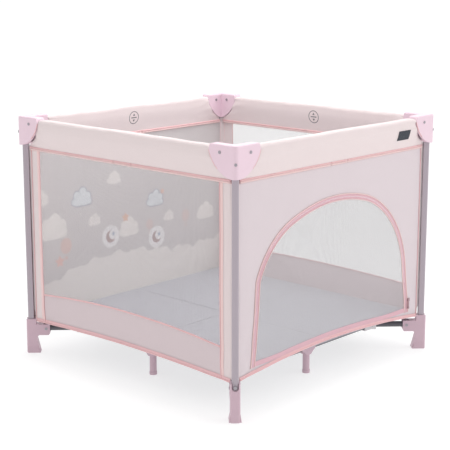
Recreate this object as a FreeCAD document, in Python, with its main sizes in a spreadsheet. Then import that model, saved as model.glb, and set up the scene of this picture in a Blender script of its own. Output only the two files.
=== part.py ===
import FreeCAD, Part
import math
import os

import Sketcher
from FreeCAD import Placement, Rotation, Vector

# A square folding playpen: four legs with corner caps, folding top rails with sprung locks, a floor frame
# that folds up round a hub, and sewn walls with a zipped door. Millimetres, +Z up, the origin on the floor
# under the hub. The front wall, with the door, faces -Y.

SIZES = [
    # alias, value, what it is
    ("leg_offset", 440, "leg axis from the middle of the pen, along X and along Y"),
    ("leg_size", 19, "leg tube, flat to flat, turned to face out along the diagonal"),
    ("leg_outer_round", 5, "radius of the leg's two outward edges"),
    ("leg_edge_round", 2.5, "radius of the leg's two inward edges"),
    ("leg_bottom", 88, "lower end of the leg tube"),
    ("leg_top", 738, "upper end of the leg tube"),
    ("tube_wall", 1.2, "wall of every metal tube"),
    ("rail_height", 736, "axis of the top rails"),
    ("rail_size", 20, "top rail diameter"),
    ("rail_pivot", 40, "rail pivot from the leg axis"),
    ("lock_pivot", 50, "rail pivot from the middle of the side"),
    ("floor_height", 78, "axis of the floor frame"),
    ("arm_size", 18, "floor arm diameter"),
    ("arm_pivot", 47, "floor arm's outer pivot from the leg axis, along the diagonal"),
    ("coupling_place", 160, "coupling's pivot from the leg axis, along the diagonal"),
    ("coupling_reach", 36.5, "floor tube's pivot from the coupling's pivot"),
    ("floor_tube_size", 16, "floor tube diameter"),
    ("pin_size", 6, "every pivot pin"),
    ("pin_play", 0.05, "running clearance round a pin, on the radius"),
    ("side_play", 0.4, "gap each side of a moving piece"),
    ("knuckle_trim", 0.4, "a tube's end knuckle is narrower than the tube by this, each side"),
    ("cheek", 3.2, "plastic cheek beside a slot"),
    ("cap_top", 757, "top of the corner caps"),
    ("cap_bottom", 668, "bottom of the corner caps"),
    ("cap_reach", 80, "cap's lobe from the leg axis"),
    ("cap_out", 17.5, "outward faces of the cap from the leg axis"),
    ("cap_tip", 2, "end of the cap's lower tip along each side, from the leg axis"),
    ("cap_round", 12, "radius of the cap's outward edge"),
    ("cap_edge", 5, "radius along the cap's top"),
    ("foot_width", 28, "foot bracket across the diagonal"),
    ("foot_top", 110, "top of the foot's socket"),
    ("foot_arm_top", 92, "top of the foot's inward arm"),
    ("foot_out", 15, "foot bracket outward of the leg axis"),
    ("foot_in", 17, "foot's post inward of the leg axis"),
    ("foot_toe", 28, "foot's sole inward of the leg axis"),
    ("foot_reach", 59, "end of the foot's arm from the leg axis"),
    ("sole_width", 35, "sole across the diagonal"),
    ("hub_radius", 98, "hub's cover plate"),
    ("hub_core", 34, "hub's core radius"),
    ("hub_foot", 17, "hub's foot radius"),
    ("middle_post", 10.5, "middle foot's post radius"),
    ("wall_plane", 434, "inner face of the wall fabric, from the middle"),
    ("cloth", 1.6, "wall fabric, with its padding"),
    ("hem_height", 118, "lower hem of the walls"),
    ("sleeve_outer", 454, "inner face of the sleeve's outer leaf, from the middle"),
    ("sleeve_inner", 426, "outer face of the sleeve's inner leaf, from the middle"),
    ("sleeve_top", 751.2, "top of the sleeve over a rail"),
    ("sleeve_slant", 712, "height below which the sleeve's leaves lean in towards the wall"),
    ("sleeve_bottom", 657, "lower edge of the sleeve, where the wall hangs from it"),
    ("sleeve_half", 357, "half the sleeve's length"),
    ("panel_half", 429.5, "half the wall's width, between two legs"),
    ("door_left", -362, "door arch's left foot"),
    ("door_right", 368, "door arch's right foot"),
    ("door_bottom", 130, "lower edge of the door"),
    ("door_top", 553, "crown of the door arch"),
    ("door_crown", -20, "crown of the door arch, along X"),
    ("left_jamb", -343.4, "top of the door's left jamb, along X"),
    ("left_jamb_top", 369, "top of the door's left jamb"),
    ("left_shoulder", -189.6, "where the left shoulder meets the crown, along X"),
    ("left_shoulder_top", 519.6, "where the left shoulder meets the crown"),
    ("right_jamb", 340.2, "top of the door's right jamb, along X"),
    ("right_jamb_top", 298.2, "top of the door's right jamb"),
    ("right_shoulder", 146.1, "where the right shoulder meets the crown, along X"),
    ("right_shoulder_top", 531.9, "where the right shoulder meets the crown"),
    ("zip_gap", 1, "gap between the door and the wall, the zip's line"),
    ("mat_half", 432, "half the floor mat"),
    ("mat_notch", 16, "mat's corner notch for a leg"),
    ("mat_bottom", 104, "underside of the floor mat"),
    ("mat_thick", 17, "floor mat's thickness"),
    ("button_size", 22, "release button's diameter"),
    ("button_travel", 4, "release button's travel"),
    ("button_thick", 8, "release button's thickness"),
]

doc = FreeCAD.newDocument("playpen")
sheet = doc.addObject("Spreadsheet::Sheet", "sizes")
for row, (alias, amount, meaning) in enumerate(SIZES, start=1):
    sheet.set(f"A{row}", meaning)
    sheet.set(f"B{row}", str(amount))
    sheet.setAlias(f"B{row}", alias)
doc.recompute()

# Lengths that follow from the driving sizes. Each is the text of an expression on the sheet.
RAIL_LENGTH = "(sizes.leg_offset - sizes.rail_pivot - sizes.lock_pivot)"
ARM_LENGTH = f"(sqrt(2) * {RAIL_LENGTH})"
HUB_PIVOT = "(sqrt(2) * (sizes.rail_pivot + sizes.lock_pivot) - sizes.arm_pivot)"
COUPLING_PLACE = "(sizes.leg_offset - sizes.coupling_place / sqrt(2))"
ARM_TO_COUPLING = "(sizes.coupling_place - sizes.arm_pivot)"
FLOOR_TUBE_LENGTH = f"({RAIL_LENGTH} - {ARM_TO_COUPLING} / sqrt(2))"
MIDDLE_PIVOT = f"({COUPLING_PLACE} - sizes.coupling_reach - {FLOOR_TUBE_LENGTH})"
PIN = "(sizes.pin_size / 2)"
PIN_HOLE = "(sizes.pin_size / 2 + sizes.pin_play)"
RAIL_SLOT = "(sizes.rail_size / 2 + sizes.side_play)"
ARM_SLOT = "(sizes.arm_size / 2 + sizes.side_play)"
TUBE_SLOT = "(sizes.floor_tube_size / 2 + sizes.side_play)"
CAP_HALF = f"({RAIL_SLOT} + sizes.cheek)"
ARM_CLEVIS = f"({ARM_SLOT} + 4)"
TUBE_CLEVIS = f"({TUBE_SLOT} + 3.6)"

CORNERS = ["front_left", "front_right", "back_right", "back_left"]
SIDES = ["front", "right", "back", "left"]
QUARTER_TURN = 90
DIAGONAL = 45
FAR = 2000  # reaches past everything
AXIS_TURNS = {
    "x": Rotation(Vector(0, 1, 0), 90),
    "y": Rotation(Vector(1, 0, 0), -90),
    "z": Rotation(),
}
nodes = []


def amount_of(expression):
    """The value of an expression on the sheet."""
    return float(sheet.evalExpression(str(expression)))


def turned(x, y, turn):
    """The texts of (x, y) turned about Z by some degrees."""
    return f"({x}) * cos({turn}) - ({y}) * sin({turn})", f"({x}) * sin({turn}) + ({y}) * cos({turn})"


def put(piece, x, y, z, rotation):
    """Places a piece, with its position bound to the sheet."""
    piece.Placement = Placement(Vector(), rotation)
    for axis, expression in zip("xyz", (x, y, z)):
        piece.setExpression(f"Placement.Base.{axis}", str(expression))


def new_piece(label, at=(0, 0, 0), turn=0, quarter=0):
    """A body for one physical piece. Its own frame stands at a point of the front side or the front left
    corner, turned about Z, and is carried round the pen by quarter turns."""
    piece = doc.addObject("PartDesign::Body", label)
    piece.Label = label
    x, y = turned(at[0], at[1], QUARTER_TURN * quarter)
    put(piece, x, y, at[2], Rotation(Vector(0, 0, 1), turn + QUARTER_TURN * quarter))
    nodes.append(piece)
    return piece


def block(piece, name, low, high, turn=0, cut=False):
    """A box between two corners, turned about the piece's Z axis, added or cut away."""
    made = piece.newObject("PartDesign::SubtractiveBox" if cut else "PartDesign::AdditiveBox", name)
    x, y = turned(low[0], low[1], turn)
    put(made, x, y, low[2], Rotation(Vector(0, 0, 1), turn))
    for side, start, end in zip(("Length", "Width", "Height"), low, high):
        made.setExpression(side, f"({end}) - ({start})")
    return made


def rod(piece, name, radius, length, centre, axis="z", turn=0, cut=False):
    """A cylinder about its own middle point, added or cut away."""
    made = piece.newObject("PartDesign::SubtractiveCylinder" if cut else "PartDesign::AdditiveCylinder", name)
    made.setExpression("Radius", str(radius))
    made.setExpression("Height", str(length))
    start = [f"({c}) - ({length}) / 2" if a == axis else str(c) for a, c in zip("xyz", centre)]
    x, y = turned(start[0], start[1], turn)
    put(made, x, y, start[2], Rotation(Vector(0, 0, 1), turn) * AXIS_TURNS[axis])
    return made


def new_sketch(piece, role, shift="0"):
    """A sketch on one of the piece's own origin planes, moved along the plane's normal."""
    plane = next(f for f in piece.Origin.OriginFeatures if f.Role == role)
    made = piece.newObject("Sketcher::SketchObject", "outline")
    made.AttachmentSupport = (plane, [""])
    made.MapMode = "FlatFace"
    made.setExpression("AttachmentOffset.Base.z", str(shift))
    return made


def hold(sketch, kind, *where):
    """A driving constraint bound to the sheet: the last entry is its expression."""
    index = sketch.addConstraint(Sketcher.Constraint(kind, *where[:-1], amount_of(where[-1])))
    sketch.setExpression(f"Constraints[{index}]", str(where[-1]))


def outline(sketch, points, vias=None):
    """A closed outline through points, each a pair of expressions. vias maps the number of a run, from its
    first point, to the pair that an arc passes through on its way."""
    vias = vias or {}
    spots = [Vector(amount_of(x), amount_of(y), 0) for x, y in points]
    ends = []
    for i, start in enumerate(spots):
        end = spots[(i + 1) % len(spots)]
        if i in vias:
            through = Vector(*[amount_of(c) for c in vias[i]], 0)
            run = sketch.addGeometry(Part.Arc(start, through, end))
            # a sketch stores every arc anticlockwise, so a clockwise one has its ends the other way round
            anticlockwise = (through - start).cross(end - through).z > 0
            ends.append((run, 1, 2) if anticlockwise else (run, 2, 1))
        else:
            ends.append((sketch.addGeometry(Part.LineSegment(start, end)), 1, 2))
    for i, (run, first, last) in enumerate(ends):
        after = ends[(i + 1) % len(ends)]
        sketch.addConstraint(Sketcher.Constraint("Coincident", run, last, after[0], after[1]))
        hold(sketch, "DistanceX", -1, 1, run, first, points[i][0])
        hold(sketch, "DistanceY", -1, 1, run, first, points[i][1])
    return sketch


def ring(sketch, radius):
    """A circle about the sketch's origin."""
    run = sketch.addGeometry(Part.Circle(Vector(), Vector(0, 0, 1), amount_of(radius)))
    sketch.addConstraint(Sketcher.Constraint("Coincident", run, 3, -1, 1))
    hold(sketch, "Radius", run, radius)
    return sketch


def square(sketch, half, middle=("0", "0")):
    """A square outline about a middle point."""
    x, y = middle
    corners = [("-", "-"), ("+", "-"), ("+", "+"), ("-", "+")]
    return outline(sketch, [(f"({x}) {a} ({half})", f"({y}) {b} ({half})") for a, b in corners])


def pad(piece, sketch, length, symmetric=False, reverse=False):
    made = piece.newObject("PartDesign::Pad", "pad")
    made.Profile = sketch
    made.setExpression("Length", str(length))
    made.SideType = "Symmetric" if symmetric else "One side"
    made.Reversed = reverse
    return made


def pocket(piece, sketch, length):
    """Cuts a sketch away against its normal, and checks that something went."""
    doc.recompute()
    before = piece.Shape.Volume
    made = piece.newObject("PartDesign::Pocket", "pocket")
    made.Profile = sketch
    made.setExpression("Length", str(length))
    doc.recompute()
    if piece.Shape.Volume >= before - 1e-6:
        raise RuntimeError(f"{piece.Label}: a pocket cut nothing")
    return made


def round_edges(piece, radius, wanted):
    """Fillets the edges of the newest feature for which wanted(edge) holds."""
    doc.recompute()
    base = piece.Tip
    names = [f"Edge{i}" for i, edge in enumerate(base.Shape.Edges, start=1) if wanted(edge)]
    made = piece.newObject("PartDesign::Fillet", "rounding")
    made.Base = (base, names)
    made.setExpression("Radius", str(radius))
    return made


def upright(edge):
    """Is an edge straight and vertical?"""
    box = edge.BoundBox
    return box.XLength < 1e-6 and box.YLength < 1e-6 and box.ZLength > 1e-6


def at_corner(edge, sign):
    """Does an edge stand in the quarter where X and Y both have the sign?"""
    middle = edge.BoundBox.Center
    return middle.x * sign > 0 and middle.y * sign > 0


def leg_tube(corner, quarter):
    """Square metal tube, one flat facing out along the diagonal, its outward edges well rounded."""
    at = ("-sizes.leg_offset", "-sizes.leg_offset", 0)
    piece = new_piece(f"leg_tube_{corner}", at, DIAGONAL, quarter)
    height = "sizes.leg_top - sizes.leg_bottom"
    pad(piece, square(new_sketch(piece, "XY_Plane", "sizes.leg_bottom"), "sizes.leg_size / 2"), height)
    bore = square(new_sketch(piece, "XY_Plane", "sizes.leg_top"), "sizes.leg_size / 2 - sizes.tube_wall")
    pocket(piece, bore, height)
    within = amount_of("sizes.leg_size / 2 - sizes.tube_wall / 2")
    bore_round = "sizes.leg_outer_round - sizes.tube_wall"
    round_edges(piece, bore_round, lambda e: upright(e) and -within < e.BoundBox.Center.x < 0)
    bore_round = "sizes.leg_edge_round - sizes.tube_wall"
    round_edges(piece, bore_round, lambda e: upright(e) and 0 < e.BoundBox.Center.x < within)
    round_edges(piece, "sizes.leg_outer_round", lambda e: upright(e) and e.BoundBox.Center.x < -within)
    round_edges(piece, "sizes.leg_edge_round", lambda e: upright(e) and e.BoundBox.Center.x > within)


def corner_cap(corner, quarter):
    """Shield-shaped moulding with a lobe along each rail. It sits over the leg, and each lobe is a slot,
    open below and at its tip, for the end of a rail."""
    piece = new_piece(f"corner_cap_{corner}", ("-sizes.leg_offset", "-sizes.leg_offset", 0), 0, quarter)
    shield = [
        ("-sizes.cap_out", "sizes.cap_bottom"),
        ("sizes.cap_tip", "sizes.cap_bottom"),
        ("sizes.cap_reach", "sizes.cap_top - 17"),
        ("sizes.cap_reach - 4", "sizes.cap_top"),
        ("-sizes.cap_out", "sizes.cap_top"),
    ]
    sweep = {1: ("sizes.cap_reach * 0.72", "sizes.cap_bottom + 31")}
    thick = f"{CAP_HALF} + sizes.cap_out"
    pad(piece, outline(new_sketch(piece, "XZ_Plane", f"-{CAP_HALF}"), shield, sweep), thick)
    pad(piece, outline(new_sketch(piece, "YZ_Plane", "-sizes.cap_out"), shield, sweep), thick)
    # each lobe's lower edge is carried on through the other lobe, so that the shield ends in one tip
    under = [
        ("sizes.cap_tip", "sizes.cap_bottom - 1"),
        (f"{CAP_HALF} + 1", "sizes.cap_bottom - 1"),
        (f"{CAP_HALF} + 1", "sizes.cap_bottom + 2.9"),
        ("sizes.cap_tip", "sizes.cap_bottom"),
    ]
    pocket(piece, outline(new_sketch(piece, "XZ_Plane", "sizes.cap_out + 1"), under), f"{thick} + 2")
    pocket(piece, outline(new_sketch(piece, "YZ_Plane", f"{CAP_HALF} + 1"), under), f"{thick} + 2")
    round_edges(piece, "sizes.cap_round", lambda e: upright(e) and at_corner(e, -1))
    top = amount_of("sizes.cap_top")
    round_edges(piece, "sizes.cap_edge", lambda e: e.BoundBox.ZMin > top - 1e-3)
    leg = "sizes.leg_size / 2 + 0.1"
    block(piece, "socket", (f"-({leg})", f"-({leg})", 600), (leg, leg, "sizes.leg_top + sizes.side_play"),
          DIAGONAL, cut=True)
    roof = "sizes.rail_height + sizes.rail_size / 2 + 0.6"
    end = f"sizes.rail_pivot - {RAIL_SLOT} - 0.2"
    block(piece, "slot_x", (end, f"-{RAIL_SLOT}", 600), (100, RAIL_SLOT, roof), cut=True)
    block(piece, "slot_y", (f"-{RAIL_SLOT}", end, 600), (RAIL_SLOT, 100, roof), cut=True)
    rod(piece, "pin_hole_x", PIN, 60, ("sizes.rail_pivot", 0, "sizes.rail_height"), "y", cut=True)
    rod(piece, "pin_hole_y", PIN, 60, (0, "sizes.rail_pivot", "sizes.rail_height"), "x", cut=True)
    rod(piece, "screw_hole", 2, 16, (-17, 0, "sizes.cap_bottom + 40"), "x", DIAGONAL, cut=True)


def foot_bracket(corner, quarter):
    """Moulded foot. Its own X axis runs inward along the diagonal: a post with a spread sole, a socket and
    plug for the leg, and an arm with a slot for the floor arm's end."""
    at = ("-sizes.leg_offset", "-sizes.leg_offset", 0)
    piece = new_piece(f"foot_bracket_{corner}", at, DIAGONAL, quarter)
    side = [
        ("-sizes.foot_out", "0"),
        ("sizes.foot_toe", "0"),
        ("sizes.foot_in", "46"),
        ("sizes.foot_in + 13", "sizes.foot_arm_top - 35"),
        ("sizes.foot_reach - 4", "sizes.foot_arm_top - 35"),
        ("sizes.foot_reach", "sizes.foot_arm_top - 29"),
        ("sizes.foot_reach", "sizes.foot_arm_top"),
        ("sizes.foot_in - 1", "sizes.foot_arm_top"),
        ("sizes.foot_in - 1", "sizes.foot_top"),
        ("-sizes.foot_out", "sizes.foot_top"),
    ]
    throat = {2: ("sizes.foot_in + 3.5", "sizes.foot_arm_top - 38")}
    pad(piece, outline(new_sketch(piece, "XZ_Plane"), side, throat), "sizes.foot_width", symmetric=True)
    outward = amount_of("-sizes.foot_out") + 0.01
    round_edges(piece, 7, lambda e: upright(e) and e.BoundBox.Center.x < outward)
    sole = piece.newObject("PartDesign::AdditiveWedge", "sole")
    half, sole_half = "sizes.foot_width / 2", "sizes.sole_width / 2"
    inset = 4  # the wedge starts inside the rounded outward side
    wedge = {
        "Xmin": f"{inset} - sizes.foot_out", "Xmax": "sizes.foot_toe", "X2min": f"{inset} - sizes.foot_out",
        "X2max": "sizes.foot_in", "Zmin": f"-{sole_half}", "Zmax": sole_half, "Z2min": f"-{half}", "Z2max": half,
        "Ymin": "0", "Ymax": "22",
    }
    for name, expression in wedge.items():
        sole.setExpression(name, expression)
    sole.Placement = Placement(Vector(), Rotation(Vector(1, 0, 0), 90))
    leg = "sizes.leg_size / 2 + 0.1"
    block(piece, "socket", (f"-({leg})", f"-({leg})", "sizes.leg_bottom"), (leg, leg, 200), cut=True)
    notch = 9.5
    rod(piece, "notch", notch, 12, ("-sizes.foot_out", 0, "sizes.leg_bottom + 11"), "x", cut=True)
    block(piece, "notch_sides", ("-sizes.foot_out - 6", -notch, "sizes.leg_bottom + 11"),
          ("6 - sizes.foot_out", notch, 200), cut=True)
    plug = "sizes.leg_size / 2 - sizes.tube_wall - 1.4"
    block(piece, "plug", (f"-({plug})", f"-({plug})", "sizes.leg_bottom - 1"), (plug, plug, "sizes.foot_top + 8"))
    under_arm = f"sizes.floor_height - {ARM_SLOT}"
    block(piece, "arm_slot", (f"sizes.arm_pivot - {ARM_SLOT}", f"-{ARM_SLOT}", under_arm),
          ("sizes.foot_reach + 5", ARM_SLOT, 200), cut=True)
    rod(piece, "pin_hole", PIN, 60, ("sizes.arm_pivot", 0, "sizes.floor_height"), "y", cut=True)


def rivet(name, length, centre, axis, turn, radius=PIN, head=4.4, heads=(1, 1)):
    """A pin with a low round head at one end or both, as a boolean of cylinders."""
    parts = [(radius, length, 0)]
    thick = 1.4
    parts += [(head, thick, sign * (length + thick) / 2) for sign, there in zip((-1, 1), heads) if there]
    made = []
    for i, (r, high, along) in enumerate(parts):
        cylinder = doc.addObject("Part::Cylinder", f"{name}_{i}")
        cylinder.setExpression("Radius", str(r))
        cylinder.Height = high
        start = [f"({c}) + ({along - high / 2})" if a == axis else str(c) for a, c in zip("xyz", centre)]
        x, y = turned(start[0], start[1], turn)
        put(cylinder, x, y, start[2], Rotation(Vector(0, 0, 1), turn) * AXIS_TURNS[axis])
        made.append(cylinder)
    fused = doc.addObject("Part::MultiFuse", name)
    fused.Shapes = made
    return fused


def corner_fasteners(corner, quarter):
    """Two rail pins, the floor arm's pin, the cap's screw and the foot's round boss screw."""
    label = f"corner_fasteners_{corner}"
    across_cap = amount_of(f"{CAP_HALF} + sizes.cap_out")
    off_centre = amount_of(f"({CAP_HALF} - sizes.cap_out) / 2")
    across_foot = amount_of("sizes.foot_width")
    pins = [
        rivet(f"{label}_rail_x", across_cap, ("sizes.rail_pivot", off_centre, "sizes.rail_height"), "y", 0),
        rivet(f"{label}_rail_y", across_cap, (off_centre, "sizes.rail_pivot", "sizes.rail_height"), "x", 0),
        rivet(f"{label}_arm", across_foot, ("sizes.arm_pivot", 0, "sizes.floor_height"), "y", DIAGONAL),
        rivet(f"{label}_cap", 6, (-16.9, 0, "sizes.cap_bottom + 40"), "x", DIAGONAL, 1.8, 4, (1, 0)),
        rivet(f"{label}_boss", 1.7, (-10.35, 0, "sizes.leg_bottom + 11"), "x", DIAGONAL, 2.6, 4.6, (1, 0)),
    ]
    made = doc.addObject("Part::Compound", label)
    made.Label = label
    made.Links = pins
    x, y = turned("-sizes.leg_offset", "-sizes.leg_offset", QUARTER_TURN * quarter)
    put(made, x, y, 0, Rotation(Vector(0, 0, 1), QUARTER_TURN * quarter))
    nodes.append(made)


def pivoted_tube(label, diameter, length, at, turn, quarter, extra_hole=None):
    """A round tube between two pivots, along its own X axis, with a knuckle at each end for the pin."""
    piece = new_piece(label, at, turn, quarter)
    trim = 1.6  # the tube's ends stand back from the pivots, inside the knuckles' radius
    walls = ring(new_sketch(piece, "YZ_Plane", trim), f"{diameter} / 2")
    ring(walls, f"{diameter} / 2 - sizes.tube_wall")
    pad(piece, walls, f"{length} - 2 * {trim}")
    wide = f"{diameter} - 2 * sizes.knuckle_trim"
    for name, place in (("start", "0"), ("end", length)):
        rod(piece, f"knuckle_{name}", f"{diameter} / 2", wide, (place, 0, 0), "y")
        rod(piece, f"hole_{name}", PIN_HOLE, 60, (place, 0, 0), "y", cut=True)
    if extra_hole:
        rod(piece, "coupling_hole", PIN_HOLE, 60, (extra_hole, 0, 0), "y", cut=True)


def top_rails(side, quarter):
    """The two halves of one side's top rail. Each is pinned in a corner cap and in the lock."""
    start = f"-({RAIL_LENGTH} + sizes.lock_pivot)"
    for name, x, turn in (("first", start, 0), ("second", f"-({start})", 180)):
        at = (x, "-sizes.leg_offset", "sizes.rail_height")
        pivoted_tube(f"{side}_rail_{name}", "sizes.rail_size", RAIL_LENGTH, at, turn, quarter)


def rail_lock(side, quarter):
    """Channel that joins two half rails. Its slots are open above, so the rails can fold up out of it, and
    its floor stops them at straight. A round button sits in its inner side."""
    at = (0, "-sizes.leg_offset", "sizes.rail_height")
    piece = new_piece(f"rail_lock_{side}", at, 0, quarter)
    under = f"{RAIL_SLOT} + 2.6"
    shape = [
        ("-sizes.lock_pivot - 16", f"4 - ({under})"),
        ("-sizes.lock_pivot - 8", f"-({under})"),
        ("sizes.lock_pivot + 8", f"-({under})"),
        ("sizes.lock_pivot + 16", f"4 - ({under})"),
        ("sizes.lock_pivot + 16", "6"),
        ("sizes.lock_pivot + 8", "12"),
        ("-sizes.lock_pivot - 8", "12"),
        ("-sizes.lock_pivot - 16", "6"),
    ]
    pad(piece, outline(new_sketch(piece, "XZ_Plane"), shape), f"2 * {CAP_HALF}", symmetric=True)
    inner_end = f"sizes.lock_pivot - {RAIL_SLOT} - 0.2"
    block(piece, "slot_right", (inner_end, f"-{RAIL_SLOT}", f"-{RAIL_SLOT}"), (100, RAIL_SLOT, 30), cut=True)
    block(piece, "slot_left", (-100, f"-{RAIL_SLOT}", f"-{RAIL_SLOT}"), (f"-({inner_end})", RAIL_SLOT, 30), cut=True)
    for name, place in (("pin_left", "-sizes.lock_pivot"), ("pin_right", "sizes.lock_pivot")):
        rod(piece, name, PIN, f"2 * {CAP_HALF} - 0.4", (place, 0, 0), "y")
    deep = "sizes.button_thick + sizes.button_travel + 0.8"
    well = "sizes.button_size / 2 + sizes.side_play"
    rod(piece, "button_well", well, deep, (0, f"{CAP_HALF} - ({deep}) / 2", 0), "y", cut=True)


def release_button(side, quarter):
    """Round button, pressed outward into the lock from the inner side."""
    at = (0, f"{CAP_HALF} - sizes.leg_offset", "sizes.rail_height")
    piece = new_piece(f"release_button_{side}", at, 0, quarter)
    flush = 0.3
    pad(piece, ring(new_sketch(piece, "XZ_Plane", flush), "sizes.button_size / 2"), "sizes.button_thick")
    proud = amount_of(f"-{flush}") - 0.01
    round_edges(piece, 1.2, lambda e: e.BoundBox.YMin > proud)
    dish = ring(new_sketch(piece, "XZ_Plane", flush), "sizes.button_size / 2 - 4")
    made = piece.newObject("PartDesign::Pocket", "dish")
    made.Profile = dish
    made.Length = 0.8
    made.Reversed = True


def floor_hub():
    """Hub under the middle of the floor: a cover plate, a core on a foot, and four forks for the arms."""
    piece = new_piece("floor_hub")
    pad(piece, ring(new_sketch(piece, "XY_Plane", 0), "sizes.hub_foot"), 64)
    rod(piece, "pad", "sizes.hub_foot + 5", 7, (0, 0, 3.5))
    rod(piece, "core", "sizes.hub_core", 32, (0, 0, 76))
    plate_bottom = "sizes.floor_height + sizes.arm_size / 2 + 1.4"
    rod(piece, "plate", "sizes.hub_radius", 9, (0, 0, f"{plate_bottom} + 4.5"))
    cheeks = (("left", ARM_SLOT, ARM_CLEVIS), ("right", f"-{ARM_CLEVIS}", f"-{ARM_SLOT}"))
    for corner, quarter in zip(CORNERS, range(4)):
        turn = DIAGONAL + QUARTER_TURN * quarter
        for name, near, far in cheeks:
            low = ("sizes.hub_core - 8", near, "sizes.floor_height - 12")
            high = (f"{HUB_PIVOT} + 9.5", far, f"{plate_bottom} + 2")
            block(piece, f"cheek_{name}_{quarter}", low, high, turn)
        pin_middle = (HUB_PIVOT, 0, "sizes.floor_height")
        rod(piece, f"pin_{quarter}", PIN, f"2 * {ARM_CLEVIS} - 0.4", pin_middle, "y", turn)


def floor_arm(corner, quarter):
    """Diagonal tube from a foot's slot to the hub, with a hole for the coupling's pin."""
    out = "sizes.arm_pivot / sqrt(2) - sizes.leg_offset"
    at = (out, out, "sizes.floor_height")
    pivoted_tube(f"floor_arm_{corner}", "sizes.arm_size", ARM_LENGTH, at, DIAGONAL, quarter, ARM_TO_COUPLING)


def arm_coupling(corner, quarter):
    """Yoke pinned on a floor arm, with a slotted lug for the floor tube of each side it serves."""
    at = (f"-{COUPLING_PLACE}", f"-{COUPLING_PLACE}", "sizes.floor_height")
    piece = new_piece(f"arm_coupling_{corner}", at, DIAGONAL, quarter)
    reach, drop, rise = 15, 13, 11
    block(piece, "yoke", (-reach, f"-{ARM_CLEVIS}", -drop), (reach, ARM_CLEVIS, rise))
    lug_end = "sizes.coupling_reach + 9"
    for name, turn in (("x", -DIAGONAL), ("y", DIAGONAL)):
        block(piece, f"lug_{name}", (10, f"-{TUBE_CLEVIS}", f"-({TUBE_SLOT} + 2.4)"), (lug_end, TUBE_CLEVIS, 8), turn)
    for name, turn in (("x", -DIAGONAL), ("y", DIAGONAL)):
        start = f"sizes.coupling_reach - {TUBE_SLOT}"
        block(piece, f"slot_{name}", (start, f"-{TUBE_SLOT}", f"-{TUBE_SLOT}"), (80, TUBE_SLOT, 40), turn, cut=True)
        rod(piece, f"pin_{name}", PIN, f"2 * {TUBE_CLEVIS} - 0.4", ("sizes.coupling_reach", 0, 0), "y", turn)
    block(piece, "arm_slot", (-80, f"-{ARM_SLOT}", -40), (80, ARM_SLOT, 40), cut=True)
    bridge = 9.9  # clear of the arm at every angle
    block(piece, "lower_bridge", (bridge, f"-{ARM_SLOT} - 1", -drop), (reach, f"{ARM_SLOT} + 1", -bridge))
    rod(piece, "arm_pin", PIN, f"2 * {ARM_CLEVIS} - 0.4", (0, 0, 0), "y")


def floor_tubes(side, quarter):
    """The two halves of one side's floor tube, between the couplings and the middle foot."""
    start = f"-{COUPLING_PLACE} + sizes.coupling_reach"
    for name, x, turn in (("first", start, 0), ("second", f"-({start})", 180)):
        at = (x, f"-{COUPLING_PLACE}", "sizes.floor_height")
        pivoted_tube(f"{side}_floor_tube_{name}", "sizes.floor_tube_size", FLOOR_TUBE_LENGTH, at, turn, quarter)


def middle_foot(side, quarter):
    """Post under the middle of a side, with a forked head for the two floor tubes. Open below, so the
    tubes can fold down past the post."""
    piece = new_piece(f"middle_foot_{side}", (0, f"-{COUPLING_PLACE}", 0), 0, quarter)
    pad(piece, ring(new_sketch(piece, "XY_Plane", 0), "sizes.middle_post"), 70)
    rod(piece, "tread", "sizes.middle_post + 1", 9, (0, 0, 4.5))
    roof = "sizes.floor_height + sizes.floor_tube_size / 2 + 0.6"
    head = [
        (f"-{MIDDLE_PIVOT} - 10", f"{roof} + 4"),
        (f"-{MIDDLE_PIVOT} - 10", "sizes.floor_height - 3"),
        (f"-{MIDDLE_PIVOT}", "sizes.floor_height - 10"),
        ("-8", "sizes.floor_height - 20"),
        ("8", "sizes.floor_height - 20"),
        (MIDDLE_PIVOT, "sizes.floor_height - 10"),
        (f"{MIDDLE_PIVOT} + 10", "sizes.floor_height - 3"),
        (f"{MIDDLE_PIVOT} + 10", f"{roof} + 4"),
    ]
    pad(piece, outline(new_sketch(piece, "XZ_Plane"), head), f"2 * {TUBE_CLEVIS}", symmetric=True)
    web = f"{MIDDLE_PIVOT} - {TUBE_SLOT} - 0.2"
    block(piece, "slot_right", (web, f"-{TUBE_SLOT}", 30), (90, TUBE_SLOT, roof), cut=True)
    block(piece, "slot_left", (-90, f"-{TUBE_SLOT}", 30), (f"-({web})", TUBE_SLOT, roof), cut=True)
    for name, place in (("pin_left", f"-{MIDDLE_PIVOT}"), ("pin_right", MIDDLE_PIVOT)):
        rod(piece, name, PIN, f"2 * {TUBE_CLEVIS} - 0.4", (place, 0, "sizes.floor_height"), "y")


def door_arch(sketch, grow):
    """The door's outline: two leaning jambs and a crown that runs into them through rounder shoulders.
    grow widens it on every side."""
    left, right = f"sizes.door_left - {grow}", f"sizes.door_right + {grow}"
    bottom, top = f"sizes.door_bottom - {grow}", f"sizes.door_top + {grow}"
    points = [
        (left, bottom),
        (right, bottom),
        (f"sizes.right_jamb + {grow}", "sizes.right_jamb_top"),
        (f"sizes.right_shoulder + {grow} / 2", f"sizes.right_shoulder_top + {grow}"),
        (f"sizes.left_shoulder - {grow} / 2", f"sizes.left_shoulder_top + {grow}"),
        (f"sizes.left_jamb - {grow}", "sizes.left_jamb_top"),
    ]
    vias = {
        2: (f"sizes.right_jamb - 69.6 + {grow} * 0.7", f"sizes.right_jamb_top + 150.9 + {grow} * 0.7"),
        3: ("sizes.door_crown", top),
        4: (f"sizes.left_jamb + 52.8 - {grow} * 0.7", f"sizes.left_jamb_top + 85 + {grow} * 0.7"),
    }
    return outline(sketch, points, vias)


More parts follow.
